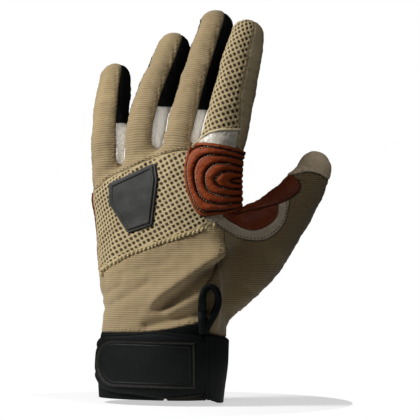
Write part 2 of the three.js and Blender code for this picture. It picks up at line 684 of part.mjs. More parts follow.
function finishOf(name) {
  if (FINISH_OF[name]) return FINISHES[FINISH_OF[name]];
  if (name.startsWith('web_')) return FINISHES.white;
  if (name.endsWith('_side')) return FINISHES.black;
  return FINISHES.leather;
}

const group = new THREE.Group();
group.name = 'rope_work_glove';
for (const [name, solid] of Object.entries({ ...panels, ...layers })) {
  const mesh = new THREE.Mesh(geometryOf(solid), new THREE.MeshStandardMaterial({ ...finishOf(name), metalness: 0 }));
  mesh.name = name;
  group.add(mesh);
}

export default group;
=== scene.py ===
"""Dresses a packed rope work glove: sewn panels of cloth, mesh and leather, padding and trim."""

from __future__ import annotations

import logging
import math
from dataclasses import dataclass, field
from enum import Enum
from typing import Callable, ClassVar, Iterable, Sequence

import bpy
import numpy as np
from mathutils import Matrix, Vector
from mathutils.bvhtree import BVHTree
from mathutils.kdtree import KDTree

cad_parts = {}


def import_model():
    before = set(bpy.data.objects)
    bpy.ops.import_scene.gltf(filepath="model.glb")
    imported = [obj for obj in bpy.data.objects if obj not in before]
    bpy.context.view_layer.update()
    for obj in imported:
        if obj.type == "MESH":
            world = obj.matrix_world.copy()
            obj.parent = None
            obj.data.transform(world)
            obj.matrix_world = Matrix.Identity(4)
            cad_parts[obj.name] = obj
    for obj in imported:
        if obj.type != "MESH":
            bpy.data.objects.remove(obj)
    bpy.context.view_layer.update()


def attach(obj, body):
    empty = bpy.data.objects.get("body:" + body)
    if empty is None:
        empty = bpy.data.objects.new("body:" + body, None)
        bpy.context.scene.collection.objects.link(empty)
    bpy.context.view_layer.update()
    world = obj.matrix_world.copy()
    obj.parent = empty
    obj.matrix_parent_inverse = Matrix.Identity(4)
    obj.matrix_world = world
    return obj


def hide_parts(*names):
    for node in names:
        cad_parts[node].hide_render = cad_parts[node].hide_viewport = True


LOG = logging.getLogger("glove")
MM = 0.001

# The photographed view is turned from the back of the hand towards the thumb, by this many degrees:
# u runs across it, z up it and w out of it.
VIEW_ANGLE = 30
TURN = math.radians(VIEW_ANGLE)
ACROSS = np.array([math.cos(TURN), math.sin(TURN), 0.0])
OUTWARD = np.array([math.sin(TURN), -math.cos(TURN), 0.0])
UPWARD = np.array([0.0, 0.0, 1.0])
DORSAL = np.array([0.0, -1.0, 0.0])

Points = np.ndarray
Row = Sequence[float]

# Level sections of the hand: z, x, y, half width, half depth, squareness
HAND_SECTIONS: list[Row] = [
    (-6, -1.0, 0, 39.6, 25.7, 2.2), (0, -0.6, 0, 40, 26, 2.2), (20, 0.7, 0, 41.8, 27.4, 2.25),
    (36, 1.9, 0.2, 41.2, 26.8, 2.3), (52, 3.5, 0.6, 41, 25.7, 2.3), (64, 3.4, 1.2, 42.8, 25, 2.3),
    (77, 3.3, 2, 45.2, 24.2, 2.4), (87, 2.8, 2.6, 46, 23, 2.45), (98, 2.5, 3.2, 46.6, 21.6, 2.55),
    (110, 2.5, 4, 47.5, 20, 2.7), (124, 2.5, 4.4, 48.2, 18.4, 2.9), (140, 2.5, 5, 47.5, 15.5, 2.8),
    (156, 2.5, 6, 46, 12, 2.6),
]
CREST_LINE: list[Row] = [
    (-52, 128), (-38, 136), (-26, 143), (-13, 148.5), (0, 153), (24, 154), (37, 152), (52, 149),
]

# Centre lines and radii of the fingers and the thumb: x, y, z, radius
DIGITS: dict[str, list[Row]] = {
    "little": [(-35.5, 4.2, 116, 9.6), (-38, 4.5, 130, 11.3), (-40.5, 6.5, 150, 11.5), (-42.5, 10, 169, 11.4),
               (-44.3, 15.5, 186, 10.8), (-45.8, 22, 200.6, 9.8)],
    "ring": [(-14, 3.5, 122, 11.8), (-14, 4, 138, 12.2), (-15, 6.5, 155, 12.4), (-15.8, 10, 169, 12.4),
             (-15.3, 19, 188, 12), (-14.2, 30, 205, 11.5), (-13.3, 38.8, 218.8, 10.8)],
    "middle": [(11, 3.5, 122, 11.8), (11, 4, 140, 12.2), (12, 7, 156, 12.5), (13, 11, 169, 12.5),
               (14.8, 19.5, 191, 12.1), (16.5, 30, 213, 11.6), (17.9, 39.4, 232.2, 10.8)],
    "index": [(36, 4.5, 122, 12.2), (37, 5, 142, 13.4), (39.5, 7.5, 156, 14), (41.6, 10, 169, 13.8),
              (44.5, 14, 188, 13), (47, 19, 209, 12), (48.5, 24, 225, 10.4)],
    "thumb": [(22, 8, 50, 11), (38, 19, 67, 14.4), (50, 28, 84, 16.6), (58, 36, 98, 15.6), (71.5, 51.5, 125, 12.4),
              (75, 56.3, 134, 11), (77.8, 59, 143, 9.6)],
    "web": [(36, 10, 96, 12), (47, 20, 105, 11.5), (57, 33, 114, 10), (65, 43, 122.5, 9.6), (70.4, 50, 129, 9.6)],
}
FINGERS = ("little", "ring", "middle", "index")

# Folds of the wrist cloth on the turned view: u1, z1, u2, z2, depth, half width, and 1 where the cloth
# hangs over the fold's lower side
FOLDS: list[Row] = [
    (37, 87, 3, 62, 5.6, 8, 1), (6, 55, 27, 66, -2.0, 3.6, 0), (-8, 46, 27, 55, 3.0, 3.4, 0),
    (-26, 70, -38, 62, 0.9, 2.6, 0), (-8, 72, -34, 56, 0.9, 2.6, 0), (40, 74, 58, 66, 0.9, 3.2, 0),
    (50, 90, 74, 84, 0.7, 3, 0), (4, 84, -24, 78, 0.5, 2.6, 0), (40, 90, 37, 52, 2.6, 9, 1),
]

# How sharply a hanging fold turns from in to out
HANG_WIDTH = 1.7

# The line that parts the back of the glove from its palm: u, w
PARTING: list[Row] = [
    (-62, -23.3), (20, -5), (44, 7), (52, 4), (62, 0), (75, -4), (105, -14), (120, -19),
]

# Seams on the turned view: u, z
SEAMS: dict[str, list[Row]] = {
    "knuckle": [(-60, 126), (-42, 129.3), (-33, 136.7), (-25.5, 140), (-15, 144.8), (-3.9, 149.5), (7.5, 152.8),
                (18.3, 154.2), (30, 155)],
    "mesh_lower": [(-60, 62), (-41.1, 75.4), (-37.6, 77.9), (-31.1, 83.2), (-21.8, 88.5), (-9.3, 93.8), (3.1, 98.1),
                   (15.6, 102.2), (29.9, 107.2), (42, 110)],
    "patch_top": [(14, 152), (18.4, 153.6), (25.9, 156.5), (40, 154.8), (48.1, 152.8), (70, 152.8)],
    "index_mesh_low": [(14, 152), (19.2, 154.8), (21.5, 156.9), (24.5, 159.7), (29.9, 164.3), (36.6, 166),
                       (44, 166.3), (70, 166.3)],
    "cuff_front": [(-60, 40), (-12.5, 41.7), (6.2, 44.2), (24.9, 48), (28, 47.3), (30.8, 40.9), (41, 38.2),
                   (60, 38.2)],
    "cuff_back": [(-60, 40), (41, 38.2), (60, 38.2)],
    "cap": [(60, 130), (69, 134), (74.8, 136.6), (80.2, 138.3), (86, 139.9), (92.7, 140.9), (99.5, 139.6),
            (103.5, 137.2), (112, 133)],
}
# The seam from the mesh down to the cuff: z, u
WRIST_SIDE: list[Row] = [
    (40, 27.6), (49.8, 27.6), (61.1, 27.7), (71.3, 29.3), (76.6, 33.3), (86, 36.8), (95.3, 39.1), (106, 39.8),
    (118, 40),
]
# Closed regions on the turned view: u, z
SADDLE: list[Row] = [
    (44, 117.3), (55.4, 116.2), (64.8, 118.1), (72.5, 120.4), (77.9, 122.4), (83.9, 126.5), (87.2, 130),
    (86.8, 134.6), (83.4, 137.8), (76, 146), (60, 150), (44, 150),
]
LOWER_SADDLE: list[Row] = [
    (39.6, 116.4), (40.4, 112.6), (46.7, 108.2), (53.6, 105.2), (60.3, 104.8), (67, 107.5), (72.5, 112.9),
    (73.4, 119.6), (73.6, 130), (60, 140), (44, 140),
]
BAND: list[Row] = [
    (28.6, 113.8), (35.3, 108.2), (41.4, 104.1), (48.1, 100.4), (57.6, 98.4), (65.7, 99.1), (72.5, 103.4),
    (77.2, 109.5), (79.2, 116.9), (79.6, 124.3), (70, 136), (40, 136),
]
THUMB_PALM: list[Row] = [
    (66, 119.8), (56.7, 118.7), (50, 112), (44, 98), (42, 80), (46, 60), (60, 50), (130, 50), (130, 175), (66, 175),
]
PATCH: list[Row] = [
    (19.1, 154.8), (16.4, 147.3), (15.7, 138.6), (17.1, 129.1), (20.4, 120.4), (23.8, 114.9), (28.5, 113.3),
    (40, 114.9), (46.7, 116.9), (52, 117.9), (55.4, 119.6), (56.6, 128), (56.6, 142), (55.4, 150.6), (48.1, 154.8),
    (40, 156.8), (32.4, 158.1), (25.9, 158.3),
]
BADGE: list[Row] = [
    (-31.3, 133.4), (-4, 145.6), (-2.1, 145.2), (-0.7, 135.6), (-3.9, 107.8), (-5.4, 107), (-18.5, 102.5),
    (-20, 103.4), (-31.3, 120.9),
]
STRAP: list[Row] = [
    (26.4, 40.2), (-28.9, 40.6), (-34.8, 38.8), (-39.5, 32), (-42.5, 23), (-39.5, 13), (-34.8, 7), (-28.9, 4.6),
    (-16.4, 3.5), (26.4, 3.4),
]
TAB: list[Row] = [
    (27, 41.1), (33, 40.5), (40, 38), (42.3, 36), (43, 24), (41, 5), (38.3, -1.1), (36.4, -2.5), (33, -1.2),
    (27, 1.6),
]
# The cord at the foot of the index mesh and the pull loop, as lines on the turned view: u, z
INDEX_CORD: list[Row] = [
    (20.6, 156.2), (24.5, 159.9), (29.9, 164.4), (36.6, 166.2), (44, 166.5), (49.5, 166.4),
]
PULL_LOOP: list[Row] = [
    (26.6, 41.5), (26.4, 48), (26.3, 55), (26.4, 62), (27.4, 67.4), (30.2, 70), (33.6, 69.4), (35.8, 66), (36.2, 61),
    (34.8, 56), (32.4, 51.4), (29.6, 46.6), (28, 41.5),
]
# The reinforcement on the palm: x, z
PALM_PATCH: list[Row] = [(-60, 78), (-60, 124), (-30, 126), (10, 122), (18, 104), (6, 86), (-20, 78)]
# Where each gusset between two fingers ends and the dark strips begin
GAP_TOPS = {("little", "ring"): 172.0, ("ring", "middle"): 182.0, ("middle", "index"): 179.4}
# The foot of the slits between the fingers on the turned view: u, z
SLITS: list[Row] = [
    (-62, 146), (-38, 146), (-27.5, 143.9), (-3.3, 155.3), (20.2, 156.6), (44, 152.8), (66, 152.8),
]
# The cuff's lower edge on the turned view: u, z
RIM: list[Row] = [(-60, 0.2), (-12, 0.2), (5, 1.6), (20, 2.7), (34, 1.2), (44, 0.4)]
GRID_STEP = 1.2
BACK_SEAM = 50.0
FRONT_SEAM = 130.0
# The mean radius of a finger, the height of its palm side's root and how deep the lining lies
FINGER_RADIUS = 11.8
ROOT_HEIGHT = 152.8
# The side of the index's back towards the thumb: heights at which its angle changes, and the angle below
OPENING_HEIGHTS = (168, 188)
INDEX_OPENING = 66.0
# Past this u, all is thumb
THUMB_SIDE = 66
SEAM_BLEND = 7.0
INDEX_SIDE: list[Row] = [(150, 17.5), (153.6, 18.4), (158.6, 20.4), (162, 21)]
INDEX_SIDE_TOP = 162
LINING_DEPTH = 2.3
# The heights at which the ribs leave the hand and follow a finger, and the width of that change
FINGER_CLOTH = 130
RUN_START = 142
ROOT_START = 150
RIB_BLEND = 22
PROJECTIONS = 5
# How far a degree round a finger takes the ribs across
DEGREE_WIDTH = 0.206
# Edges steeper than this stay crisp
SHARP_ANGLE = math.radians(50)
# A seam's distance where none is near
FAR_FROM_SEAM = 9.0


def table(rows: Sequence[Row], at: np.ndarray, column: int = 1) -> np.ndarray:
    """Reads one column of a table, straight between its rows.

    Args:
        rows: the table, sorted by its first column.
        at: values of the first column.
        column: the column to read.

    Returns:
        The column's values at those places.
    """
    values = np.asarray(rows, float)
    return np.interp(at, values[:, 0], values[:, column])


def smooth_rows(rows: Sequence[Row], per_span: int = 5, closed: bool = False) -> np.ndarray:
    """Puts a smooth curve through the rows of a table.

    Args:
        rows: the points to pass through.
        per_span: how many points each span gets.
        closed: whether the last row joins the first.

    Returns:
        The denser rows.
    """
    values = np.asarray(rows, float)
    count = len(values)
    out: list[np.ndarray] = []
    for i in range(count if closed else count - 1):
        picks = [(i + k) % count if closed else min(max(i + k, 0), count - 1) for k in (-1, 0, 1, 2)]
        a, b, c, d = values[picks]
        bend, twist = 2 * a - 5 * b + 4 * c - d, 3 * b - a - 3 * c + d
        for t in np.arange(per_span) / per_span:
            out.append(0.5 * (2 * b + (c - a) * t + bend * t**2 + twist * t**3))
    if not closed:
        out.append(values[-1])
    return np.array(out)


def outline_distance(points: Points, outline: np.ndarray) -> np.ndarray:
    """Gives the signed distance to a closed outline, below zero inside.

    Args:
        points: places in the plane, one a row.
        outline: the outline's corners.

    Returns:
        The distance of each point.
    """
    best = np.full(len(points), 1e9)
    inside = np.zeros(len(points), bool)
    for a, b in zip(outline, np.roll(outline, -1, axis=0)):
        edge = b - a
        along = np.clip(((points - a) @ edge) / max(edge @ edge, 1e-9), 0, 1)
        gap = points - a - along[:, None] * edge
        best = np.minimum(best, np.einsum("ij,ij->i", gap, gap))
        crosses = (a[1] > points[:, 1]) != (b[1] > points[:, 1])
        with np.errstate(divide="ignore", invalid="ignore"):
            at = a[0] + (points[:, 1] - a[1]) * edge[0] / edge[1]
        inside ^= crosses & (points[:, 0] < at)
    return np.where(inside, -1, 1) * np.sqrt(best)


def blend_least(a: np.ndarray, b: np.ndarray, reach: float) -> np.ndarray:
    """Takes the smaller of two distances, rounded where they are near each other."""
    mix = np.clip(reach - np.abs(a - b), 0, None) / reach
    return np.minimum(a, b) - mix * mix * reach / 4


def wobble(points: Points, size: float, seed: int = 0) -> np.ndarray:
    """Gives a soft wavy value between about -1 and 1 from a few crossed waves.

    Args:
        points: places in millimetres.
        size: the length of the waves in millimetres.
        seed: picks another pattern.

    Returns:
        One value a point.
    """
    rng = np.random.default_rng(seed)
    total = np.zeros(len(points))
    for _ in range(7):
        way = rng.normal(size=3)
        way /= np.linalg.norm(way)
        pace = rng.uniform(0.6, 1.5) * 2 * math.pi / size
        total += np.sin(points @ way * pace + rng.uniform(0, 6.28))
    return total / 3.2


def turned(points: Points) -> tuple[np.ndarray, np.ndarray, np.ndarray]:
    """Gives u, w and z of points, on the turned view."""
    return points @ ACROSS, points @ OUTWARD, points[:, 2]


def run_lengths(points: Points) -> np.ndarray:
    """Gives the length along a line of points up to each of them."""
    return np.concatenate([[0], np.cumsum(np.linalg.norm(np.diff(points, axis=0), axis=1))])


def triangle_edges(faces: np.ndarray) -> np.ndarray:
    """Lists the three edges of each triangle, all first edges before all second and third ones."""
    return np.concatenate([faces[:, [0, 1]], faces[:, [1, 2]], faces[:, [2, 0]]])


@dataclass
class Tube:
    """A finger, thumb or web as a row of balls of changing size with straight tapers between."""

    rows: np.ndarray
    reach: float = 9.0

    @classmethod
    def through(cls, rows: Sequence[Row]) -> Tube:
        """Makes a tube through the rows of a digit's table."""
        return cls(smooth_rows(rows, 4))

    def measure(self, points: Points) -> tuple[np.ndarray, np.ndarray]:
        """Measures how far points lie outside the tube, and where along it.

        Args:
            points: places in millimetres.

        Returns:
            The distance, and the place along the tube in millimetres.
        """
        size = self.rows[:, 3].max() + self.reach
        low, high = self.rows[:, :3].min(axis=0) - size, self.rows[:, :3].max(axis=0) + size
        near = np.flatnonzero(((points >= low) & (points <= high)).all(axis=1))
        distance = np.full(len(points), self.reach * 2)
        station = np.zeros(len(points))
        place = points[near]
        best = np.full(len(near), 1e3)
        where = np.zeros(len(near))
        run = 0.0
        for a, b in zip(self.rows[:-1], self.rows[1:]):
            edge = b[:3] - a[:3]
            length = float(np.linalg.norm(edge))
            t = np.clip(((place - a[:3]) @ edge) / length**2, 0, 1)
            gap = np.linalg.norm(place - a[:3] - t[:, None] * edge, axis=1) - (a[3] + t * (b[3] - a[3]))
            closer = gap < best
            best = np.where(closer, gap, best)
            where = np.where(closer, run + t * length, where)
            run += length
        distance[near] = np.minimum(best, self.reach * 2)
        station[near] = where
        return distance, station

    def axis_at(self, station: np.ndarray) -> tuple[Points, Points]:
        """Gives the places of the centre line at stations along it, and its slope there."""
        line = self.rows[:, :3]
        runs = run_lengths(line)
        slope = np.gradient(line, runs, axis=0)
        return (np.stack([np.interp(station, runs, line[:, k]) for k in range(3)], axis=1),
                np.stack([np.interp(station, runs, slope[:, k]) for k in range(3)], axis=1))

    def angle(self, points: Points, station: np.ndarray) -> np.ndarray:
        """Gives the angle round the tube in degrees, 0 at its back and above 0 towards the thumb."""
        centre, tangent = self.axis_at(station)
        tangent /= np.linalg.norm(tangent, axis=1)[:, None]
        dorsal = DORSAL - (tangent @ DORSAL)[:, None] * tangent
        dorsal /= np.linalg.norm(dorsal, axis=1)[:, None]
        lateral = np.cross(tangent, dorsal)
        gap = points - centre
        return np.degrees(np.arctan2((gap * lateral).sum(axis=1), (gap * dorsal).sum(axis=1)))


@dataclass
class GloveForm:
    """The smooth outside of the glove: the hand and its digits run into each other."""

    finger_blend: float = 2.2
    hand_blend: float = 6.5
    web_blend: float = 7.0
    crest_blend: float = 9.0
    crest_slope: float = 0.9
    tubes: dict[str, Tube] = field(
        default_factory=lambda: {name: Tube.through(rows) for name, rows in DIGITS.items()})
    sections: np.ndarray = field(default_factory=lambda: smooth_rows(HAND_SECTIONS, 4))

    def hand(self, points: Points) -> np.ndarray:
        """Measures how far points lie outside the hand and wrist."""
        z = points[:, 2]
        x0, y0, half_x, half_y, power = (np.interp(z, self.sections[:, 0], self.sections[:, k]) for k in range(1, 6))
        dx, dy = np.abs(points[:, 0] - x0), np.abs(points[:, 1] - y0)
        norm = ((dx / half_x) ** power + (dy / half_y) ** power) ** (1 / power)
        norm = np.maximum(norm, 1e-3)
        side = np.hypot(dx, dy) * (1 - 1 / norm)
        top = (z - table(CREST_LINE, points[:, 0])) * self.crest_slope
        return -blend_least(-side, -top, self.crest_blend)

    def distance(self, points: Points) -> np.ndarray:
        """Measures how far points lie outside the whole glove."""
        fingers = np.full(len(points), 30.0)
        for name in FINGERS:
            fingers = blend_least(fingers, self.tubes[name].measure(points)[0], self.finger_blend)
        thumb, web = (self.tubes[name].measure(points)[0] for name in ("thumb", "web"))
        thumb = blend_least(thumb, web, self.web_blend)
        whole = blend_least(self.hand(points), fingers, self.hand_blend)
        return blend_least(whole, thumb, self.hand_blend)

    def slope(self, points: Points) -> np.ndarray:
        """Gives the direction straight out of the surface at points on it."""
        step = 0.15
        out = np.empty_like(points)
        for axis in range(3):
            shift = np.zeros(3)
            shift[axis] = step
            out[:, axis] = self.distance(points + shift) - self.distance(points - shift)
        return out / (2 * step)


@dataclass
class Skin:
    """A mesh of triangles in millimetres, with named values at its points."""

    points: Points
    faces: np.ndarray
    values: dict[str, np.ndarray] = field(default_factory=dict)

    def _grown(self, ends: np.ndarray, share: np.ndarray) -> Skin:
        """Adds points between pairs of points, with their values."""
        def mixed(array: np.ndarray) -> np.ndarray:
            """Extends one array by the values between the pairs."""
            part = share[:, None] if array.ndim == 2 else share
            return np.concatenate([array, array[ends[:, 0]] * (1 - part) + array[ends[:, 1]] * part])

        values = {name: mixed(value) for name, value in self.values.items()}
        return Skin(mixed(self.points), self.faces, values)

    def cut(self, name: str, snap: float = 0.08) -> Skin:
        """Splits triangles along the line where a named value is zero.

        Args:
            name: the value to follow.
            snap: values nearer zero than this count as on the line.

        Returns:
            The mesh with an edge along the whole line.
        """
        value = self.values[name]
        value[np.abs(value) < snap] = 0
        sign = np.sign(value[self.faces])
        mixed = (sign.min(axis=1) < 0) & (sign.max(axis=1) > 0)
        work, rest = self.faces[mixed], self.faces[~mixed]
        if not len(work):
            return self
        edges = triangle_edges(work)
        split = value[edges[:, 0]] * value[edges[:, 1]] < 0
        pairs, back = np.unique(np.sort(edges[split], axis=1), axis=0, return_inverse=True)
        share = value[pairs[:, 0]] / (value[pairs[:, 0]] - value[pairs[:, 1]])
        grown = self._grown(pairs, share)
        grown.values[name][len(value):] = 0
        middle = np.full(len(edges), -1)
        middle[split] = len(value) + back.reshape(-1)
        middle = middle.reshape(3, -1).T
        made: list[np.ndarray] = []
        for turn in range(3):
            a, b, c = (work[:, (turn + k) % 3] for k in range(3))
            ab, bc, ca = (middle[:, (turn + k) % 3] for k in range(3))
            two = (ab >= 0) & (ca >= 0) & (bc < 0)
            one = (bc >= 0) & (ab < 0) & (ca < 0)
            made.append(np.stack([a, ab, ca], axis=1)[two])
            made.append(np.stack([ab, b, c], axis=1)[two])
            made.append(np.stack([ab, c, ca], axis=1)[two])
            made.append(np.stack([a, b, bc], axis=1)[one])
            made.append(np.stack([a, bc, c], axis=1)[one])
        return Skin(grown.points, np.concatenate([rest, *made]), grown.values)

    def refined(self) -> Skin:
        """Splits every triangle into four."""
        edges = triangle_edges(self.faces)
        pairs, back = np.unique(np.sort(edges, axis=1), axis=0, return_inverse=True)
        grown = self._grown(pairs, np.full(len(pairs), 0.5))
        ab, bc, ca = (len(self.points) + back.reshape(3, -1))
        a, b, c = self.faces.T
        made = [np.stack(rows, axis=1) for rows in ((a, ab, ca), (ab, b, bc), (ca, bc, c), (ab, bc, ca))]
        return Skin(grown.points, np.concatenate(made), grown.values)

    def part(self, keep: np.ndarray) -> Skin:
        """Takes the triangles that a mask keeps, with the points that they use."""
        faces = self.faces[keep]
        used, back = np.unique(faces, return_inverse=True)
        values = {name: value[used] for name, value in self.values.items()}
        return Skin(self.points[used], back.reshape(-1, 3), values)

    def mean(self, name: str) -> np.ndarray:
        """Gives the mean of a named value over each triangle."""
        return self.values[name][self.faces].mean(axis=1)

    def normals(self) -> np.ndarray:
        """Gives the direction out of the surface at each point."""
        a, b, c = (self.points[self.faces[:, k]] for k in range(3))
        flat = np.cross(b - a, c - a)
        total = np.zeros_like(self.points)
        for k in range(3):
            for axis in range(3):
                total[:, axis] += np.bincount(self.faces[:, k], flat[:, axis], len(self.points))
        return total / np.maximum(np.linalg.norm(total, axis=1), 1e-9)[:, None]

    def rim(self) -> np.ndarray:
        """Lists the edges that only one triangle has, in that triangle's order."""
        edges = triangle_edges(self.faces)
        key = np.sort(edges, axis=1)
        _, first, count = np.unique(key, axis=0, return_index=True, return_counts=True)
        return edges[first[count == 1]]

    def skirted(self, depth: float, out: np.ndarray) -> Skin:
        """Turns the edge in: each rim edge gets a wall that goes down along the given directions."""
        rim = self.rim()
        ids = np.unique(rim)
        low = np.full(len(self.points), -1)
        low[ids] = len(self.points) + np.arange(len(ids))
        points = np.concatenate([self.points, self.points[ids] - out[ids] * depth])
        walls = [np.stack([rim[:, 1], rim[:, 0], low[rim[:, 0]]], axis=1),
                 np.stack([rim[:, 1], low[rim[:, 0]], low[rim[:, 1]]], axis=1)]
        values = {name: np.concatenate([value, value[ids]]) for name, value in self.values.items()}
        return Skin(points, np.concatenate([self.faces, *walls]), values)


def surface_net(values: np.ndarray, origin: np.ndarray, step: float) -> Skin:
    """Makes a mesh of the zero surface of a block of values, by one point in each cell it crosses.

    Args:
        values: the block, below zero inside.
        origin: the place of its first value.
        step: the space between values.

    Returns:
        The mesh, facing out.
    """
    inside = values < 0
    shape = np.array(values.shape) - 1
    corners = [(i, j, k) for i in (0, 1) for j in (0, 1) for k in (0, 1)]
    count = np.zeros(shape, np.int8)
    for i, j, k in corners:
        count += inside[i:shape[0] + i, j:shape[1] + j, k:shape[2] + k]
    active = (count > 0) & (count < 8)
    number = np.full(shape, -1)
    number[active] = np.arange(active.sum())
    cells = np.argwhere(active)
    total, hits = np.zeros((len(cells), 3)), np.zeros(len(cells))
    for corner in corners:
        for axis in range(3):
            if corner[axis]:
                continue
            way = np.eye(3, dtype=int)[axis]
            start = cells + corner
            a, b = values[tuple(start.T)], values[tuple((start + way).T)]
            cross = (a < 0) != (b < 0)
            share = a[cross] / (a[cross] - b[cross])
            total[cross] += np.array(corner) + share[:, None] * way
            hits[cross] += 1
    points = origin + step * (cells + total / hits[:, None])
    faces: list[np.ndarray] = []
    for axis in range(3):
        way = np.eye(3, dtype=int)[axis]
        side, other = np.eye(3, dtype=int)[(axis + 1) % 3], np.eye(3, dtype=int)[(axis + 2) % 3]
        ahead = inside[way[0]:, way[1]:, way[2]:]
        here = inside[: ahead.shape[0], : ahead.shape[1], : ahead.shape[2]]
        at = np.argwhere(ahead != here)
        at = at[(at[:, (axis + 1) % 3] > 0) & (at[:, (axis + 2) % 3] > 0)]
        at = at[(at < shape).all(axis=1)]
        quad = np.stack([number[tuple((at - a * side - b * other).T)] for a, b in ((0, 0), (1, 0), (1, 1), (0, 1))],
                        axis=1)
        flip = ~here[tuple(at.T)]
        quad[flip] = quad[flip][:, ::-1]
        faces += [quad[:, [0, 1, 2]], quad[:, [0, 2, 3]]]
    return Skin(points, np.concatenate(faces))


class Side(Enum):
    """Which digit a place belongs to, by its number in FINGERS."""

    LITTLE = 0
    RING = 1
    MIDDLE = 2
    INDEX = 3


@dataclass
class GloveSkin:
    """The glove's outside as one mesh, cut along every seam, with a panel name for each triangle."""

    form: GloveForm = field(default_factory=GloveForm)
    step: float = GRID_STEP
    layers_at_once: int = 8
    settle_passes: int = 2
    least_slope: float = 0.2
    longest_move: float = 1.2
    low: tuple[float, float, float] = (-62.0, -34.0, -6.0)
    high: tuple[float, float, float] = (93.0, 74.0, 247.0)
    skin: Skin = field(init=False)
    lining: Skin = field(init=False)
    label: np.ndarray = field(init=False)

    SEAM_VALUES: ClassVar[tuple[str, ...]] = (
        "rim", "dorsal", "cuff", "cap", "knuckle", "mesh_lower", "wrist_side", "index_side", "patch_top",
        "index_mesh_low", "saddle", "lower", "band", "thumb_palm", "root", "front", "top",
    )

    def build(self) -> None:
        """Makes the mesh, cuts it and names its panels."""
        block, origin = self._block()
        self.skin = self._settled(surface_net(block, origin, self.step), 0.0)
        coarse = surface_net(np.ascontiguousarray(block[::2, ::2, ::2]) + LINING_DEPTH, origin, self.step * 2)
        self.lining = self._settled(coarse, -LINING_DEPTH)
        LOG.info("skin: %d triangles, lining: %d", len(self.skin.faces), len(self.lining.faces))
        self._measure()
        for name in self.SEAM_VALUES:
            self.skin = self.skin.cut(name)
        self.skin = self.skin.part(self.skin.mean("rim") > 0)
        self._name_panels()
        self.skin.points = self._crumpled(self.skin)
        self.lining.points = self._crumpled(self.lining)

    def _block(self) -> tuple[np.ndarray, np.ndarray]:
        """Gives the form's distances on a grid, and the grid's first corner."""
        axes = [np.arange(a, b, self.step) for a, b in zip(self.low, self.high)]
        block = np.empty([len(axis) for axis in axes])
        for i in range(0, len(axes[2]), self.layers_at_once):
            layers = slice(i, i + self.layers_at_once)
            grid = np.stack(np.meshgrid(axes[0], axes[1], axes[2][layers], indexing="ij"), axis=-1)
            block[:, :, layers] = self.form.distance(grid.reshape(-1, 3)).reshape(grid.shape[:3])
        return block, np.array(self.low)

    def _settled(self, skin: Skin, level: float) -> Skin:
        """Moves a mesh's points onto the form's surface, or to a level inside it."""
        for _ in range(self.settle_passes):
            slope = self.form.slope(skin.points)
            gap = self.form.distance(skin.points) - level
            size = np.maximum((slope * slope).sum(axis=1), self.least_slope)
            move = slope * (gap / size)[:, None]
            length = np.maximum(np.linalg.norm(move, axis=1), 1e-9)
            skin.points = skin.points - move * np.minimum(1, self.longest_move / length)[:, None]
        return skin

    def _measure(self) -> None:
        """Works out every value that the seams follow, at each point."""
        points, values = self.skin.points, self.skin.values
        u, w, z = turned(points)
        measured = [self.form.tubes[name].measure(points) for name in FINGERS]
        nearest = np.argmin([distance for distance, _ in measured], axis=0)
        angles = np.stack([self.form.tubes[name].angle(points, station)
                           for name, (_, station) in zip(FINGERS, measured)])
        angle = np.choose(nearest, angles)
        station = np.choose(nearest, [station for _, station in measured])
        radius = FINGER_RADIUS * math.pi / 180
        opening = np.interp(z, OPENING_HEIGHTS, [INDEX_OPENING, BACK_SEAM])
        limit = np.where((nearest == Side.INDEX.value) & (angle > 0), opening, BACK_SEAM)
        seen = w - table(PARTING, u)
        finger_back = np.maximum((np.abs(angle) - limit) * radius, table(SLITS, u) - 6 - z)
        finger_back = np.where(u > THUMB_SIDE, FAR_FROM_SEAM, finger_back)
        values["dorsal"] = blend_least(np.maximum(-seen, z - table(SLITS, u)), finger_back, SEAM_BLEND)
        values["front"] = (FRONT_SEAM - np.abs(angle)) * radius
        values["root"] = z - np.where(points[:, 0] > 40, ROOT_HEIGHT, table(CREST_LINE, points[:, 0]) + 0.6)
        top = np.full(len(points), 900.0)
        for (first, second), height in GAP_TOPS.items():
            a, b = FINGERS.index(first), FINGERS.index(second)
            top = np.where(((nearest == a) & (angle > 0)) | ((nearest == b) & (angle < 0)), height, top)
        values["top"] = np.clip(z - top, -FAR_FROM_SEAM, FAR_FROM_SEAM)
        values["rim"] = z - np.where(seen > 0, table(RIM, u), 0.2)
        values["cuff"] = z - np.where(seen > 0, table(SEAMS["cuff_front"], u), table(SEAMS["cuff_back"], u))
        for name in ("cap", "knuckle", "mesh_lower", "patch_top", "index_mesh_low"):
            values[name] = z - table(smooth_rows(SEAMS[name]), u)
        values["cap"] = np.minimum(values["cap"], u - THUMB_SIDE)
        values["wrist_side"] = u - table(smooth_rows(WRIST_SIDE), z)
        beyond = np.where(nearest == Side.INDEX.value, 3.0, -3.0)
        values["index_side"] = np.where(z < INDEX_SIDE_TOP, u - table(INDEX_SIDE, z), beyond)
        plane = np.stack([u, z], axis=1)
        for name, rows in (("saddle", SADDLE), ("lower", LOWER_SADDLE), ("band", BAND), ("thumb_palm", THUMB_PALM)):
            values[name] = outline_distance(plane, smooth_rows(rows, 4, closed=True))
        values["nearest"] = nearest.astype(float)
        values["angle"] = angle
        values["run"], values["across"] = self._cloth_lines(points, nearest, station)

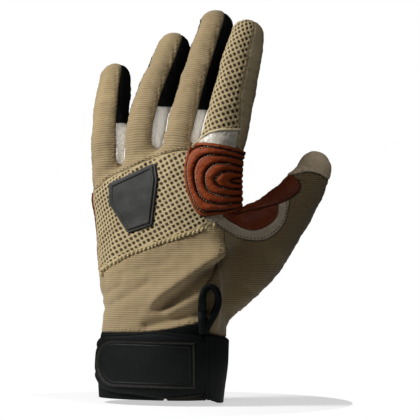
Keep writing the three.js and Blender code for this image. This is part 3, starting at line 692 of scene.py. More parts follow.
    def _cloth_lines(self, points: Points, nearest: np.ndarray, station: np.ndarray
                     ) -> tuple[np.ndarray, np.ndarray]:
        """Gives the place along and across the cloth's ribs, which follow each finger."""
        u, w, z = turned(points)
        run = z.copy()
        across = u + np.where(u < 0, -0.7, 0.7) * np.clip(2 - w, 0, None)
        for number, name in enumerate(FINGERS):
            tube = self.form.tubes[name]
            runs = run_lengths(tube.rows[:, :3])
            start = float(np.interp(ROOT_START, tube.rows[:, 2], runs))
            mine = np.flatnonzero((nearest == number) & (z > FINGER_CLOTH))
            place, along = points[mine], station[mine]
            for _ in range(PROJECTIONS):
                held = np.clip(along, 0, runs[-1])
                centre, way = tube.axis_at(held)
                along = held + ((place - centre) * way).sum(axis=1)
            share = np.clip((z[mine] - RUN_START) / RIB_BLEND, 0, 1)
            run[mine] = z[mine] * (1 - share) + (ROOT_START + along - start) * share
            turn = tube.angle(place, np.clip(along, 0, runs[-1])) - VIEW_ANGLE
            share = np.clip((z[mine] - ROOT_START) / RIB_BLEND, 0, 1)
            across[mine] = across[mine] * (1 - share) + (centre @ ACROSS + turn * DEGREE_WIDTH) * share
        return run, across

    def _name_panels(self) -> None:
        """Gives each triangle the number of its panel, in the order of PANELS."""
        value = {name: self.skin.mean(name) for name in self.SEAM_VALUES}
        nearest = np.round(self.skin.values["nearest"][self.skin.faces[:, 0]]).astype(int)
        angle = self.skin.values["angle"][self.skin.faces].mean(axis=1)
        back = value["dorsal"] < 0
        palm = value["root"] < 0
        webbed = (value["front"] > 0) & (value["top"] < 0)
        strip = (value["front"] > 0) & (value["top"] >= 0)
        towards = angle > 0
        finger = [nearest == side.value for side in Side]
        rules: list[tuple[str, np.ndarray]] = [
            ("cuff", value["cuff"] < 0),
            ("thumb_cap", value["cap"] > 0),
            ("index_mesh", back & (value["index_side"] > 0) & (value["index_mesh_low"] > 0)),
            ("index_base_leather", back & (value["index_side"] > 0) & (value["patch_top"] > 0)),
            ("thumb_saddle", back & (value["saddle"] < 0)),
            ("lower_saddle", back & (value["lower"] < 0)),
            ("crotch_band", back & (value["band"] < 0)),
            ("knuckle_fabric", back & (value["index_side"] < 0) & (value["knuckle"] > 0)),
            ("hand_mesh", back & (value["wrist_side"] < 0) & (value["mesh_lower"] > 0)),
            ("wrist_fabric", back & (value["wrist_side"] < 0)),
            ("thumb_fabric", back),
            ("thumb_front", palm & (value["thumb_palm"] < 0)),
            ("palm_leather", palm),
            ("web_little_ring", webbed & ((finger[0] & towards) | (finger[1] & ~towards))),
            ("web_ring_middle", webbed & ((finger[1] & towards) | (finger[2] & ~towards))),
            ("web_middle_index", webbed & ((finger[2] & towards) | (finger[3] & ~towards))),
            ("little_ring_side", strip & finger[0] & towards),
            ("ring_little_side", strip & finger[1] & ~towards),
            ("ring_middle_side", strip & finger[1] & towards),
            ("middle_ring_side", strip & finger[2] & ~towards),
            ("middle_index_side", strip & finger[2] & towards),
            ("index_middle_side", strip & finger[3] & ~towards),
            ("little_front", finger[0]),
            ("ring_front", finger[1]),
            ("middle_front", finger[2]),
            ("index_leather", finger[3]),
        ]
        self.panel_names = [name for name, _ in rules]
        self.label = np.select([mask for _, mask in rules], list(range(len(rules))), len(rules) - 1)

    def _crumpled(self, skin: Skin) -> Points:
        """Presses the folds of the wrist cloth and soft wrinkles into a mesh's points."""
        points = skin.points
        normal = skin.normals()
        u, w, z = turned(points)
        seen = np.clip((w - table(PARTING, u)) / 6, 0, 1) * np.clip((z - 40) / 5, 0, 1)
        depth = np.zeros(len(points))
        for u1, z1, u2, z2, deep, spread, hangs in FOLDS:
            a, b = np.array([u1, z1]), np.array([u2, z2])
            place = np.stack([u, z], axis=1) - a
            t = np.clip(place @ (b - a) / ((b - a) @ (b - a)), 0, 1)
            gap = np.linalg.norm(place - t[:, None] * (b - a), axis=1)
            aside = ((b - a)[0] * place[:, 1] - (b - a)[1] * place[:, 0]) / np.linalg.norm(b - a)
            lean = np.tanh(aside / HANG_WIDTH) if hangs else 1.0
            depth += deep * lean * np.exp(-((gap / spread) ** 2))
        soft = 0.35 * wobble(points * [1, 1, 1.6], 17, 3) + 0.18 * wobble(points * [1, 1, 1.8], 7, 5)
        above = np.clip((z - 44) / 8, 0, 1)
        return points + normal * (soft * above - depth * seen)[:, None]

    def panel(self, name: str) -> np.ndarray:
        """Gives the mask of one panel's triangles."""
        return self.label == self.panel_names.index(name)

    def seam_points(self) -> Points:
        """Lists places along all the seams."""
        edges = triangle_edges(self.skin.faces)
        labels = np.tile(self.label, 3)
        key = np.sort(edges, axis=1)
        order = np.lexsort((key[:, 1], key[:, 0]))
        key, labels = key[order], labels[order]
        same = (key[1:] == key[:-1]).all(axis=1) & (labels[1:] != labels[:-1])
        pairs = key[1:][same]
        ends = self.skin.points[pairs]
        return np.concatenate([ends[:, 0], ends[:, 1], ends.mean(axis=1)])


class Sock:
    """A shader socket that takes part in Python arithmetic, each operation adding a Math node."""

    def __init__(self, tree: bpy.types.NodeTree, socket: bpy.types.NodeSocket) -> None:
        """Holds the tree and the output socket."""
        self.tree = tree
        self.socket = socket

    def _math(self, operation: str, *terms: Sock | float, clamp: bool = False) -> Sock:
        """Adds a Math node over the terms, in order."""
        node = self.tree.nodes.new("ShaderNodeMath")
        node.operation = operation
        node.use_clamp = clamp
        for slot, term in zip(node.inputs, terms):
            if isinstance(term, Sock):
                self.tree.links.new(term.socket, slot)
            else:
                slot.default_value = float(term)
        return Sock(self.tree, node.outputs[0])

    def __add__(self, other: Sock | float) -> Sock:
        """Adds."""
        return self._math("ADD", self, other)

    __radd__ = __add__

    def __sub__(self, other: Sock | float) -> Sock:
        """Subtracts."""
        return self._math("SUBTRACT", self, other)

    def __rsub__(self, other: Sock | float) -> Sock:
        """Subtracts from another value."""
        return self._math("SUBTRACT", other, self)

    def __mul__(self, other: Sock | float) -> Sock:
        """Multiplies."""
        return self._math("MULTIPLY", self, other)

    __rmul__ = __mul__

    def __truediv__(self, other: Sock | float) -> Sock:
        """Divides."""
        return self._math("DIVIDE", self, other)

    def __pow__(self, other: float) -> Sock:
        """Raises to a power."""
        return self._math("POWER", self, other)

    def sine(self) -> Sock:
        """Gives the sine."""
        return self._math("SINE", self)

    def size(self) -> Sock:
        """Gives the value without its sign."""
        return self._math("ABSOLUTE", self)

    def held(self) -> Sock:
        """Keeps the value between 0 and 1."""
        return self._math("ADD", self, 0.0, clamp=True)


Colour = tuple[float, float, float]


def rgb(text: str) -> Colour:
    """Turns a hex colour as seen on a screen into the linear values that shaders use."""
    parts = [int(text[i:i + 2], 16) / 255 for i in (0, 2, 4)]
    return tuple(p / 12.92 if p <= 0.04045 else ((p + 0.055) / 1.055) ** 2.4 for p in parts)


class Shader:
    """A material's node tree, with one method for any node."""

    def __init__(self, name: str) -> None:
        """Starts a material with one surface shader.

        Args:
            name: the material's name.
        """
        self.material = bpy.data.materials.new(name)
        self.material.use_nodes = True
        self.tree = self.material.node_tree
        self.surface = self.tree.nodes["Principled BSDF"]

    def node(self, kind: str, settings: dict[str, object] | None = None, output: str | int = 0,
             **inputs: object) -> Sock:
        """Adds a node.

        Args:
            kind: the node's type after ShaderNode.
            settings: attributes that are set first.
            output: the output socket to give back.
            **inputs: values or links, by the socket's name with _ for a space.

        Returns:
            The chosen output.
        """
        made = self.tree.nodes.new("ShaderNode" + kind)
        for key, value in (settings or {}).items():
            setattr(made, key, value)
        for key, value in inputs.items():
            self._feed(made, key.replace("_", " "), value)
        return Sock(self.tree, made.outputs[output])

    def _feed(self, node: bpy.types.Node, name: str, value: object) -> None:
        """Links or sets one input socket."""
        slot = next(s for s in node.inputs if s.name == name and s.enabled)
        if isinstance(value, Sock):
            self.tree.links.new(value.socket, slot)
        elif slot.type == "RGBA":
            slot.default_value = (*value, 1.0)
        else:
            slot.default_value = value

    def value(self, name: str) -> Sock:
        """Reads a value that the mesh holds at each point."""
        return self.node("Attribute", {"attribute_name": name}, "Fac")

    def place(self) -> Sock:
        """Gives the place on the object in its own frame."""
        return self.node("TexCoord", output="Object")

    def noise(self, size_mm: float, detail: float = 2.0, stretch: tuple[float, float, float] = (1, 1, 1)) -> Sock:
        """Gives a cloudy value from 0 to 1 whose spots have a size in millimetres."""
        pace = 1000.0 / size_mm
        place = self.node("Mapping", {}, "Vector", Vector=self.place(),
                          Scale=tuple(pace * part for part in stretch))
        return self.node("TexNoise", {"noise_dimensions": "3D"}, "Fac", Vector=place, Scale=1.0, Detail=detail)

    def cells(self, size_mm: float) -> Sock:
        """Gives the distance to the nearest of scattered points."""
        place = self.node("Mapping", {}, "Vector", Vector=self.place(), Scale=(1000.0 / size_mm,) * 3)
        return self.node("TexVoronoi", {"feature": "F1"}, "Distance", Vector=place, Scale=1.0)

    def mix(self, first: Sock | Colour, second: Sock | Colour, share: Sock | float) -> Sock:
        """Mixes two colours."""
        made = self.tree.nodes.new("ShaderNodeMix")
        made.data_type = "RGBA"
        slots = [s for s in made.inputs if s.enabled]
        for slot, item in zip([s for s in slots if s.name == "A"] + [s for s in slots if s.name == "B"],
                              (first, second)):
            if isinstance(item, Sock):
                self.tree.links.new(item.socket, slot)
            else:
                slot.default_value = (*item, 1.0)
        factor = next(s for s in slots if s.name == "Factor")
        if isinstance(share, Sock):
            self.tree.links.new(share.socket, factor)
        else:
            factor.default_value = share
        return Sock(self.tree, next(s for s in made.outputs if s.enabled))

    def bump(self, height: Sock, depth_mm: float, strength: float) -> Sock:
        """Turns a height from 0 to 1 into a normal.

        Args:
            height: the relief.
            depth_mm: its full depth in millimetres.
            strength: how strongly it shows.

        Returns:
            The normal.
        """
        return self.node("Bump", {}, "Normal", Height=height, Distance=depth_mm * MM, Strength=strength)

    def dress(self, **inputs: object) -> bpy.types.Material:
        """Feeds the surface shader and gives the material."""
        for key, value in inputs.items():
            self._feed(self.surface, key.replace("_", " "), value)
        return self.material


@dataclass(frozen=True)
class Finish:
    """A finish of one of the glove's materials."""

    name: str
    colour: str
    dark: str
    roughness: float = 0.8

    def material(self) -> bpy.types.Material:
        """Gives the finish's material, made once."""
        name = f"glove_{self.name}"
        return bpy.data.materials.get(name) or self.paint(Shader(name))

    def paint(self, shader: Shader) -> bpy.types.Material:
        """Builds the node tree; plain colour with soft clouds."""
        clouds = shader.noise(14, 3)
        return shader.dress(Base_Color=shader.mix(rgb(self.colour), rgb(self.dark), clouds), Roughness=self.roughness)

    def seam_shade(self, shader: Shader, reach: float = 1.6) -> Sock:
        """Gives 1 in the seams, falling to 0 a little way from them."""
        return (1 - shader.value("edge") / reach).held()


@dataclass(frozen=True)
class RibbedCloth(Finish):
    """Stretch cloth with fine level ribs."""

    pitch: float = 1.35

    def paint(self, shader: Shader) -> bpy.types.Material:
        """Builds ribs that follow each finger, crossed by fine yarn."""
        waver = (shader.noise(9, 2) - 0.5) * 0.4
        run = shader.value("run") + waver
        across = shader.value("across")
        rib = (run * (2 * math.pi / self.pitch)).sine() * 0.5 + 0.5
        yarn = (across * (2 * math.pi / 0.62) + rib * 1.2).sine() * 0.5 + 0.5
        twill = ((run * 3.1 + across * 2.2) * 1.9).sine() * 0.5 + 0.5
        fuzz = shader.noise(0.35, 3)
        clouds = shader.noise(26, 3)
        height = rib * 0.45 + yarn * 0.2 + twill * 0.12 + fuzz * 0.3
        shade = (1 - rib) ** 2.0 * 0.46 + (1 - yarn) * 0.16 + self.seam_shade(shader, 1.2) * 0.75 + clouds * 0.2
        base = shader.mix(rgb(self.colour), rgb(self.dark), shade.held())
        # Paler patches of wear, spread at random
        wear_and_highlight = shader.mix(base, rgb("c9b07a"), ((shader.noise(40, 2) - 0.52) * 1.4).held())
        return shader.dress(Base_Color=wear_and_highlight, Roughness=self.roughness, Sheen_Weight=0.25, Sheen_Roughness=0.5,
                            Normal=shader.bump(height, 0.36, 0.8))


@dataclass(frozen=True)
class AirMesh(Finish):
    """Mesh cloth whose holes are pits painted dark as shade; the pits' relief is in the mesh itself."""

    # The colour of the painted shade in the mesh's holes
    hole_shade: str = "4a3722"

    def paint(self, shader: Shader) -> bpy.types.Material:
        """Builds pale yarn with painted shade in the pits and along the seams."""
        pit = shader.value("pit")
        strand = ((shader.value("run") * 7.5 + shader.value("across") * 3).sine() * 0.5 + 0.5)
        fuzz = shader.noise(0.3, 3)
        yarn = shader.mix(rgb(self.colour), rgb(self.dark), (shader.noise(18, 3) * 0.5 + strand * 0.25).held())
        # Painted shade: the pits darken towards the holes' colour
        tone = shader.mix(yarn, rgb(self.hole_shade), (pit * 1.4 - 0.1).held())
        # Painted shade along the seams
        seam = shader.mix(tone, rgb(self.dark), self.seam_shade(shader) * 0.5)
        return shader.dress(Base_Color=seam, Roughness=self.roughness,
                            Normal=shader.bump(strand * 0.4 + fuzz * 0.6, 0.25, 0.7))


@dataclass(frozen=True)
class Leather(Finish):
    """Glove leather with grain, creases and edges paler where they rub."""

    grain: float = 1.1
    rubbed_and_highlight: str = "b98a63"
    shine: float = 0.3

    def paint(self, shader: Shader) -> bpy.types.Material:
        """Builds cell grain, soft creases, a rim paler where it rubs, painted shade in grooves and seams."""
        grain = shader.cells(self.grain)
        fine = shader.noise(0.45, 3)
        crease = (shader.noise(6, 4, (1, 1, 2.2)) - 0.5).size() * 4
        edge = shader.value("edge")
        clouds = shader.noise(17, 3)
        # Painted shade: the patch's grooves, where the pit value is high, are darkened
        groove_shade = shader.value("pit") * 0.7
        base = shader.mix(rgb(self.colour), rgb(self.dark), (clouds * 0.6 + grain * 0.25 + groove_shade).held())
        rim = ((1 - (edge - 1.1).size() / 0.9).held() * shader.noise(3, 3) * 0.9).held()
        wear_and_highlight = shader.mix(base, rgb(self.rubbed_and_highlight), rim * 0.45)
        # Painted shade: the colour darkens along the seams
        seam_shaded = shader.mix(wear_and_highlight, rgb(self.dark), self.seam_shade(shader, 0.9) * 0.7)
        height = (1 - grain) * 0.4 + fine * 0.25 + crease.held() * 0.35
        roughness = shader_range(fine, self.roughness - 0.1, self.roughness + 0.12)
        return shader.dress(Base_Color=seam_shaded, Roughness=roughness, Specular_IOR_Level=self.shine,
                            Normal=shader.bump(height, 0.28, 0.7))


def shader_range(value: Sock, low: float, high: float) -> Sock:
    """Stretches a value from 0 to 1 onto another range."""
    return value * (high - low) + low


@dataclass(frozen=True)
class KnitCloth(Finish):
    """Close knitted or woven cloth."""

    pitch: float = 0.9
    shine: float = 0.12

    def paint(self, shader: Shader) -> bpy.types.Material:
        """Builds crossed yarns and lint."""
        run = shader.value("run") * (2 * math.pi / self.pitch)
        across = shader.value("across") * (2 * math.pi / self.pitch)
        weave = (run.sine() * across.sine()) * 0.5 + 0.5
        fuzz = shader.noise(0.4, 3)
        clouds = shader.noise(12, 3)
        shade = (weave * 0.45 + clouds * 0.3 + self.seam_shade(shader) * 0.3).held()
        return shader.dress(Base_Color=shader.mix(rgb(self.colour), rgb(self.dark), shade), Roughness=self.roughness,
                            Specular_IOR_Level=self.shine,
                            Normal=shader.bump(weave * 0.6 + fuzz * 0.4, 0.3, 0.7))


@dataclass(frozen=True)
class Rubber(Finish):
    """Moulded rubber with a fine matte face."""

    dust: str = "4a4742"
    # The paler colour of the painted highlight along the edges
    wear_and_highlight: str = "56534b"
    shine: float = 0.35

    def paint(self, shader: Shader) -> bpy.types.Material:
        """Builds fine pebbles, dust, and a paler band along the edges: painted highlight."""
        pebble = shader.cells(0.55)
        settled = ((shader.noise(9, 4) - 0.45) * 2).held()
        base = shader.mix(rgb(self.colour), rgb(self.dark), pebble)
        dusty = shader.mix(base, rgb(self.dust), settled * 0.16)
        # Painted highlight: a paler band near the edges, where the edges and bead lines catch light
        rim = (1 - (shader.value("edge") - 0.9).size() / 0.7).held() * (0.1 + shader.noise(7, 2) * 0.45)
        rubbed_and_highlight = shader.mix(dusty, rgb(self.wear_and_highlight), rim)
        return shader.dress(Base_Color=rubbed_and_highlight, Roughness=shader_range(settled, self.roughness, self.roughness + 0.2),
                            Specular_IOR_Level=self.shine, Normal=shader.bump(1 - pebble, 0.12, 0.6))


@dataclass(frozen=True)
class Thread(Finish):
    """Sewing thread or cord, twisted."""

    def paint(self, shader: Shader) -> bpy.types.Material:
        """Builds soft fibre variation."""
        fibre = shader.noise(0.5, 3)
        return shader.dress(Base_Color=shader.mix(rgb(self.colour), rgb(self.dark), fibre), Roughness=self.roughness,
                            Normal=shader.bump(fibre, 0.15, 0.5))


KHAKI = RibbedCloth("khaki_ribs", "b39c72", "5a4830", 0.92)
# The same khaki ribbed cloth in darker colours: painted shade on the thumb side, which faces away from the light
KHAKI_PAINTED_SHADE = RibbedCloth("khaki_thumb_ribs_painted_shade", "8c7852", "3f321d", 0.92)
MESH = AirMesh("cream_mesh", "d0be94", "99855a", 0.85)
PALM = Leather("beige_leather", "b7a684", "8c7a5a", 0.62)
PALE = Leather("pale_leather", "d9d3c6", "ada594", 0.36, rubbed_and_highlight="ebe6d8", shine=0.5)
RUST = Leather("rust_leather", "ae4a18", "3c180a", 0.6, rubbed_and_highlight="c06a30", shine=0.18)
DARK_RUST = Leather("dark_rust_leather", "8a3c1c", "3c1a0e", 0.6, rubbed_and_highlight="a25a34", shine=0.2)
BAND_GREY = Leather("band_leather", "c6b8a2", "90826c", 0.55, rubbed_and_highlight="e2d8c4")
# A pale leather made paler still: painted light for the light that the cap's upper side catches
CAP_WITH_PAINTED_LIGHT = Leather("cap_leather", "f4dfbf", "cfb896", 0.6, rubbed_and_highlight="f8e8cf")
FINGER_SIDE = Leather("finger_side_leather", "bcab89", "8f7e5d", 0.58, rubbed_and_highlight="d0c1a0")
BLACK = KnitCloth("black_cloth", "131413", "080808", 0.9)
CUFF = KnitCloth("cuff_cloth", "0a0e0e", "040606", 0.88, pitch=1.4)
WHITE = KnitCloth("pale_gusset", "fbf8f2", "d6d0c6", 0.6, pitch=0.8, shine=0.4)
RUBBER = Rubber("badge_rubber", "232320", "121210", 0.6)
STRAP_RUBBER = Rubber("strap_rubber", "0a0e0d", "050706", 0.55, dust="1c2222", wear_and_highlight="4c453a", shine=0.16)
WEBBING = KnitCloth("strap_webbing", "090d0d", "030505", 0.6, pitch=1.1)
CORD = Thread("tan_cord", "e2d2a4", "a18a5c", 0.8)
CREAM_THREAD = Thread("cream_thread", "e2d5b4", "b7a47c", 0.75)
BLACK_THREAD = Thread("black_thread", "19191a", "0a0a0a", 0.7)
KHAKI_THREAD = Thread("khaki_thread", "8d774b", "55462a", 0.8)
INSIDE = KnitCloth("inner_lining", "2e2a24", "181612", 0.95, pitch=1.2)


@dataclass(frozen=True)
class PanelCut:
    """How one sewn panel stands on the glove: its finish and the lift of its middle and its edge."""

    node: str
    finish: Finish
    slot: str
    middle: float = 0.0
    edge: float = -0.5
    roll: float = 1.6
    puff: float = 0.3
    fine: int = 1


PANELS: tuple[PanelCut, ...] = (
    PanelCut("cuff", CUFF, "black_cloth", 0.0, -0.3, fine=0),
    PanelCut("thumb_cap", CAP_WITH_PAINTED_LIGHT, "cap_leather", 0.5, 0.25, 0.9, 0.5),
    PanelCut("index_mesh", MESH, "air_mesh", 0.1, -0.4, fine=2),
    PanelCut("index_base_leather", PALE, "pale_leather", 0.3, 0.0, 1.0),
    PanelCut("thumb_saddle", DARK_RUST, "dark_rust_leather", 0.8, 0.45, 0.9, 0.6),
    PanelCut("lower_saddle", DARK_RUST, "dark_rust_leather", 0.6, 0.2, 0.9, 0.9),
    PanelCut("crotch_band", BAND_GREY, "grey_band", 0.4, 0.1, 0.9, 0.4),
    PanelCut("knuckle_fabric", KHAKI, "ribbed_cloth"),
    PanelCut("hand_mesh", MESH, "air_mesh", 0.1, -0.4, fine=2),
    PanelCut("wrist_fabric", KHAKI, "ribbed_cloth"),
    PanelCut("thumb_fabric", KHAKI_PAINTED_SHADE, "ribbed_cloth"),
    PanelCut("thumb_front", PALM, "grain_leather", 0.2, -0.2, fine=0),
    PanelCut("palm_leather", PALM, "grain_leather", 0.2, -0.2, fine=0),
    *(PanelCut(f"web_{a}_{b}", WHITE, "white_cloth", -0.1, -0.4) for a, b in GAP_TOPS),
    *(PanelCut(f"{a}_{b}_side", BLACK, "black_cloth", -0.1, -0.4)
      for pair in GAP_TOPS for a, b in (pair, pair[::-1])),
    *(PanelCut(f"{name}_front", PALM, "grain_leather", 0.2, -0.2, fine=0) for name in FINGERS[:3]),
    PanelCut("index_leather", FINGER_SIDE, "grain_leather", 0.2, -0.2),
)


def edge_distance(points: Points, seams: Points, reach: float = 12.0) -> np.ndarray:
    """Measures how far points are from the nearest seam.

    Args:
        points: places in millimetres.
        seams: places along the seams.
        reach: larger distances count as this.

    Returns:
        The distances.
    """
    tree = KDTree(len(seams))
    for i, place in enumerate(seams):
        tree.insert(place, i)
    tree.balance()
    return np.minimum([tree.find(place)[2] for place in points], reach)


def rounded(distance: np.ndarray, roll: float) -> np.ndarray:
    """Gives the profile of a rolled edge: 0 at the edge, 1 from the roll's width on."""
    share = np.clip(distance / roll, 0, 1)
    return np.sqrt(1 - (1 - share) ** 2)


def place_piece(name: str, skin: Skin, finish: Finish, slot: str,
                nodes: Iterable[str] = ()) -> bpy.types.Object:
    """Makes a Blender object from a mesh in millimetres and hands it to the frame.

    Args:
        name: the piece's name.
        skin: its mesh and values.
        finish: its finish.
        slot: the record's material slot; not used.
        nodes: the CAD nodes that it stands for.

    Returns:
        The object.
    """
    mesh = bpy.data.meshes.new(name)
    mesh.from_pydata((skin.points * MM).tolist(), [], skin.faces.tolist())
    mesh.validate()
    for key in ("run", "across", "edge", "pit"):
        stored = skin.values.get(key)
        if stored is None:
            stored = np.full(len(skin.points), FAR_FROM_SEAM if key == "edge" else 0.0)
        mesh.attributes.new(key, "FLOAT", "POINT").data.foreach_set("value", stored.astype(np.float32))
    mesh.polygons.foreach_set("use_smooth", np.ones(len(mesh.polygons), bool))
    mesh.set_sharp_from_angle(angle=SHARP_ANGLE)
    mesh.materials.append(finish.material())
    piece = bpy.data.objects.new(name, mesh)
    bpy.context.scene.collection.objects.link(piece)
    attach(piece, "root")
    if nodes:
        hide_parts(*nodes)
    LOG.info("%s: %d triangles", name, len(mesh.polygons))
    return piece


@dataclass
class SewnPanels:
    """All the panels of the glove's wall, each a piece of its own with turned-in edges."""

    glove: GloveSkin
    turn_in: float = 1.4
    mesh_pitch: float = 4.25
    pit_depth: float = 0.6
    puff_reach: float = 5.0
    pucker_at: float = 1.5
    pucker_width: float = 2.0
    pucker_depth: float = 0.22
    pucker_size: float = 3.4

    def build(self) -> list[Skin]:
        """Makes every panel and gives the meshes."""
        seams = self.glove.seam_points()
        return [self._panel(cut, seams) for cut in PANELS]

    def _panel(self, cut: PanelCut, seams: Points) -> Skin:
        """Makes one panel."""
        skin = self.glove.skin.part(self.glove.panel(cut.node))
        for _ in range(cut.fine):
            skin = skin.refined()
        normal = skin.normals()
        distance = edge_distance(skin.points, seams)
        skin.values["edge"] = distance
        lift = cut.edge + (cut.middle - cut.edge) * rounded(distance, cut.roll)
        lift += cut.puff * (1 - np.exp(-distance / self.puff_reach))
        near_seam = np.exp(-((distance - self.pucker_at) / self.pucker_width) ** 2)
        lift += near_seam * self.pucker_depth * wobble(skin.points, self.pucker_size, 11)
        if cut.finish is MESH:
            pit = self._pits(skin)
            skin.values["pit"] = pit * np.clip((distance - 0.7) / 1.0, 0, 1)
            lift -= self.pit_depth * skin.values["pit"]
        skin.points = skin.points + normal * lift[:, None]
        skin = skin.skirted(self.turn_in, normal)
        place_piece(f"{cut.node}_panel", skin, cut.finish, cut.slot, [cut.node])
        return skin

    def _pits(self, skin: Skin) -> np.ndarray:
        """Gives the mesh's pits in staggered rows, 1 at the middle of each."""
        a = (skin.values["across"] * 0.97 + skin.values["run"] * -0.28) / self.mesh_pitch
        b = (skin.values["across"] * 0.28 + skin.values["run"] * 0.97) / self.mesh_pitch
        wave = np.cos(math.pi * (a + b)) * np.cos(math.pi * (a - b))
        return np.clip(np.abs(wave) * 2.0 - 0.62, 0, 1)


@dataclass
class Lining:
    """The inside of the glove, seen through the wrist opening."""

    glove: GloveSkin

    def build(self) -> None:
        """Makes the inner skin."""
        skin = self.glove.lining
        keep = skin.points[skin.faces][:, :, 2].mean(axis=1) > 0.6
        skin = skin.part(keep)
        skin.faces = skin.faces[:, ::-1]
        place_piece("inner_lining", skin, INSIDE, "black_cloth")


@dataclass
class Studio:
    """The camera at the photograph's angle, three lights, an even surrounding and a pale floor."""

    lens: float = 250.0
    sensor: float = 36.0
    frame_mm: float = 261.7
    middle: tuple[float, float] = (31.15, 117.1)
    surround: float = 0.03
    floor_radius: float = 120.0
    floor_level: float = -3.2
    floor_sides: int = 96
    floor_tones: tuple[float, float] = (0.55, 0.6)
    floor_glow: float = 0.55

    # Name, offset across, out and up, size and power of each light
    LIGHTS: ClassVar[tuple[tuple[str, tuple[float, float, float], float, float], ...]] = (
        ("key", (-560, 140, 350), 170, 5.0),
        ("front", (-300, 900, 300), 400, 0.4),
        ("side", (260, 300, 560), 260, 0.8),
    )

    def build(self) -> None:
        """Makes the camera, the lights and the floor."""
        scene = bpy.context.scene
        centre = ACROSS * self.middle[0] + UPWARD * self.middle[1]
        distance = self.frame_mm * self.lens / self.sensor
        data = bpy.data.cameras.new("camera")
        data.lens, data.sensor_width, data.sensor_height = self.lens, self.sensor, self.sensor
        data.sensor_fit = "HORIZONTAL"
        data.clip_end = 20
        camera = bpy.data.objects.new("camera", data)
        scene.collection.objects.link(camera)
        camera.location = Vector((centre + OUTWARD * distance) * MM)
        camera.rotation_euler = (math.radians(90), 0, TURN)
        scene.camera = camera
        scene.view_settings.view_transform = "Standard"
        for name, offset, size, power in self.LIGHTS:
            self._light(name, offset, size, power, centre)
        self._world(scene)
        self._floor()

    def _light(self, name: str, offset: tuple[float, float, float], size: float, power: float, centre: np.ndarray
               ) -> None:
        """Adds one square light at an offset across, out and up, facing the glove."""
        data = bpy.data.lights.new(name, "AREA")
        data.energy, data.size = power, size * MM
        lamp = bpy.data.objects.new(name, data)
        bpy.context.scene.collection.objects.link(lamp)
        place = centre + ACROSS * offset[0] + OUTWARD * offset[1] + UPWARD * offset[2]
        lamp.location = Vector(place * MM)
        lamp.rotation_euler = Vector((centre - place) * MM).to_track_quat("-Z", "Y").to_euler()

    def _world(self, scene: bpy.types.Scene) -> None:
        """Sets an even pale surrounding."""
        world = bpy.data.worlds.new("studio")
        world.use_nodes = True
        tree = world.node_tree
        shown = tree.nodes["Background"]
        shown.inputs["Color"].default_value = (1, 1, 1, 1)
        around = tree.nodes.new("ShaderNodeBackground")
        around.inputs["Color"].default_value = (1, 1, 1, 1)
        around.inputs["Strength"].default_value = self.surround
        rays = tree.nodes.new("ShaderNodeLightPath")
        mix = tree.nodes.new("ShaderNodeMixShader")
        tree.links.new(rays.outputs["Is Camera Ray"], mix.inputs[0])
        tree.links.new(around.outputs[0], mix.inputs[1])
        tree.links.new(shown.outputs[0], mix.inputs[2])
        tree.links.new(mix.outputs[0], tree.nodes["World Output"].inputs["Surface"])
        scene.world = world

    def _floor(self) -> None:
        """Adds the pale floor."""
        mesh = bpy.data.meshes.new("floor")
        rim = ring_section(self.floor_radius, self.floor_sides)
        rim = np.column_stack([rim, np.full(self.floor_sides, self.floor_level)]) * MM
        mesh.from_pydata(rim.tolist(), [], [tuple(range(self.floor_sides))])
        shader = Shader("pale_floor")
        soft = shader.noise(30, 2)
        dark, light = ((tone, tone, tone) for tone in self.floor_tones)
        mesh.materials.append(shader.dress(Base_Color=shader.mix(dark, light, soft), Roughness=0.9,
                                           Emission_Color=(1, 1, 1), Emission_Strength=self.floor_glow))
        floor = bpy.data.objects.new("floor", mesh)
        bpy.context.scene.collection.objects.link(floor)


class Surface:
    """Finds places on the dressed glove by where they lie on the turned view."""

    STAND_OFF: ClassVar[float] = 200.0

    def __init__(self, skins: Iterable[Skin]) -> None:
        """Gathers the meshes into one search tree.

        Args:
            skins: the meshes that can be hit.
        """
        points: list[Points] = []
        faces: list[np.ndarray] = []
        start = 0
        for skin in skins:
            points.append(skin.points)
            faces.append(skin.faces + start)
            start += len(skin.points)
        self.tree = BVHTree.FromPolygons(np.concatenate(points).tolist(), np.concatenate(faces).tolist())

    def at(self, u: float, z: float) -> tuple[np.ndarray, np.ndarray]:
        """Gives the outermost place at u and z, and the direction out of the surface there."""
        start = ACROSS * u + UPWARD * z + OUTWARD * self.STAND_OFF
        hit, normal, _, _ = self.tree.ray_cast(Vector(start), Vector(-OUTWARD))
        if hit is None:
            hit, normal, _, _ = self.tree.find_nearest(Vector(ACROSS * u + UPWARD * z))
        out = np.array(normal)
        return np.array(hit), out if out @ OUTWARD > 0 else -out

    def path(self, rows: Sequence[Row], space: float, lift: float = 0.0, even: int = 0) -> tuple[Points, Points]:
        """Lays a line over the surface.

        Args:
            rows: the line's u and z.
            space: the length between its points.
            lift: how far it stands off the surface.
            even: how many times the line's bumps are evened out.

        Returns:
            The points and the directions out of the surface at them.
        """
        flat = even_rows(np.asarray(rows, float)[:, :2], space)
        found = [self.at(u, z) for u, z in flat]
        out = np.array([normal for _, normal in found])
        places = np.array([place for place, _ in found])
        for _ in range(2 + even):
            out[1:-1] = (out[:-2] + 2 * out[1:-1] + out[2:]) / 4
        for _ in range(even):
            places[1:-1] = (places[:-2] + 2 * places[1:-1] + places[2:]) / 4
        out /= np.linalg.norm(out, axis=1)[:, None]
        return places + out * lift, out


def even_rows(rows: np.ndarray, space: float) -> np.ndarray:
    """Puts points at an even space along a line of points."""
    runs = run_lengths(rows)
    at = np.linspace(0, runs[-1], max(int(runs[-1] / space), 2) + 1)
    return np.stack([np.interp(at, runs, rows[:, k]) for k in range(rows.shape[1])], axis=1)


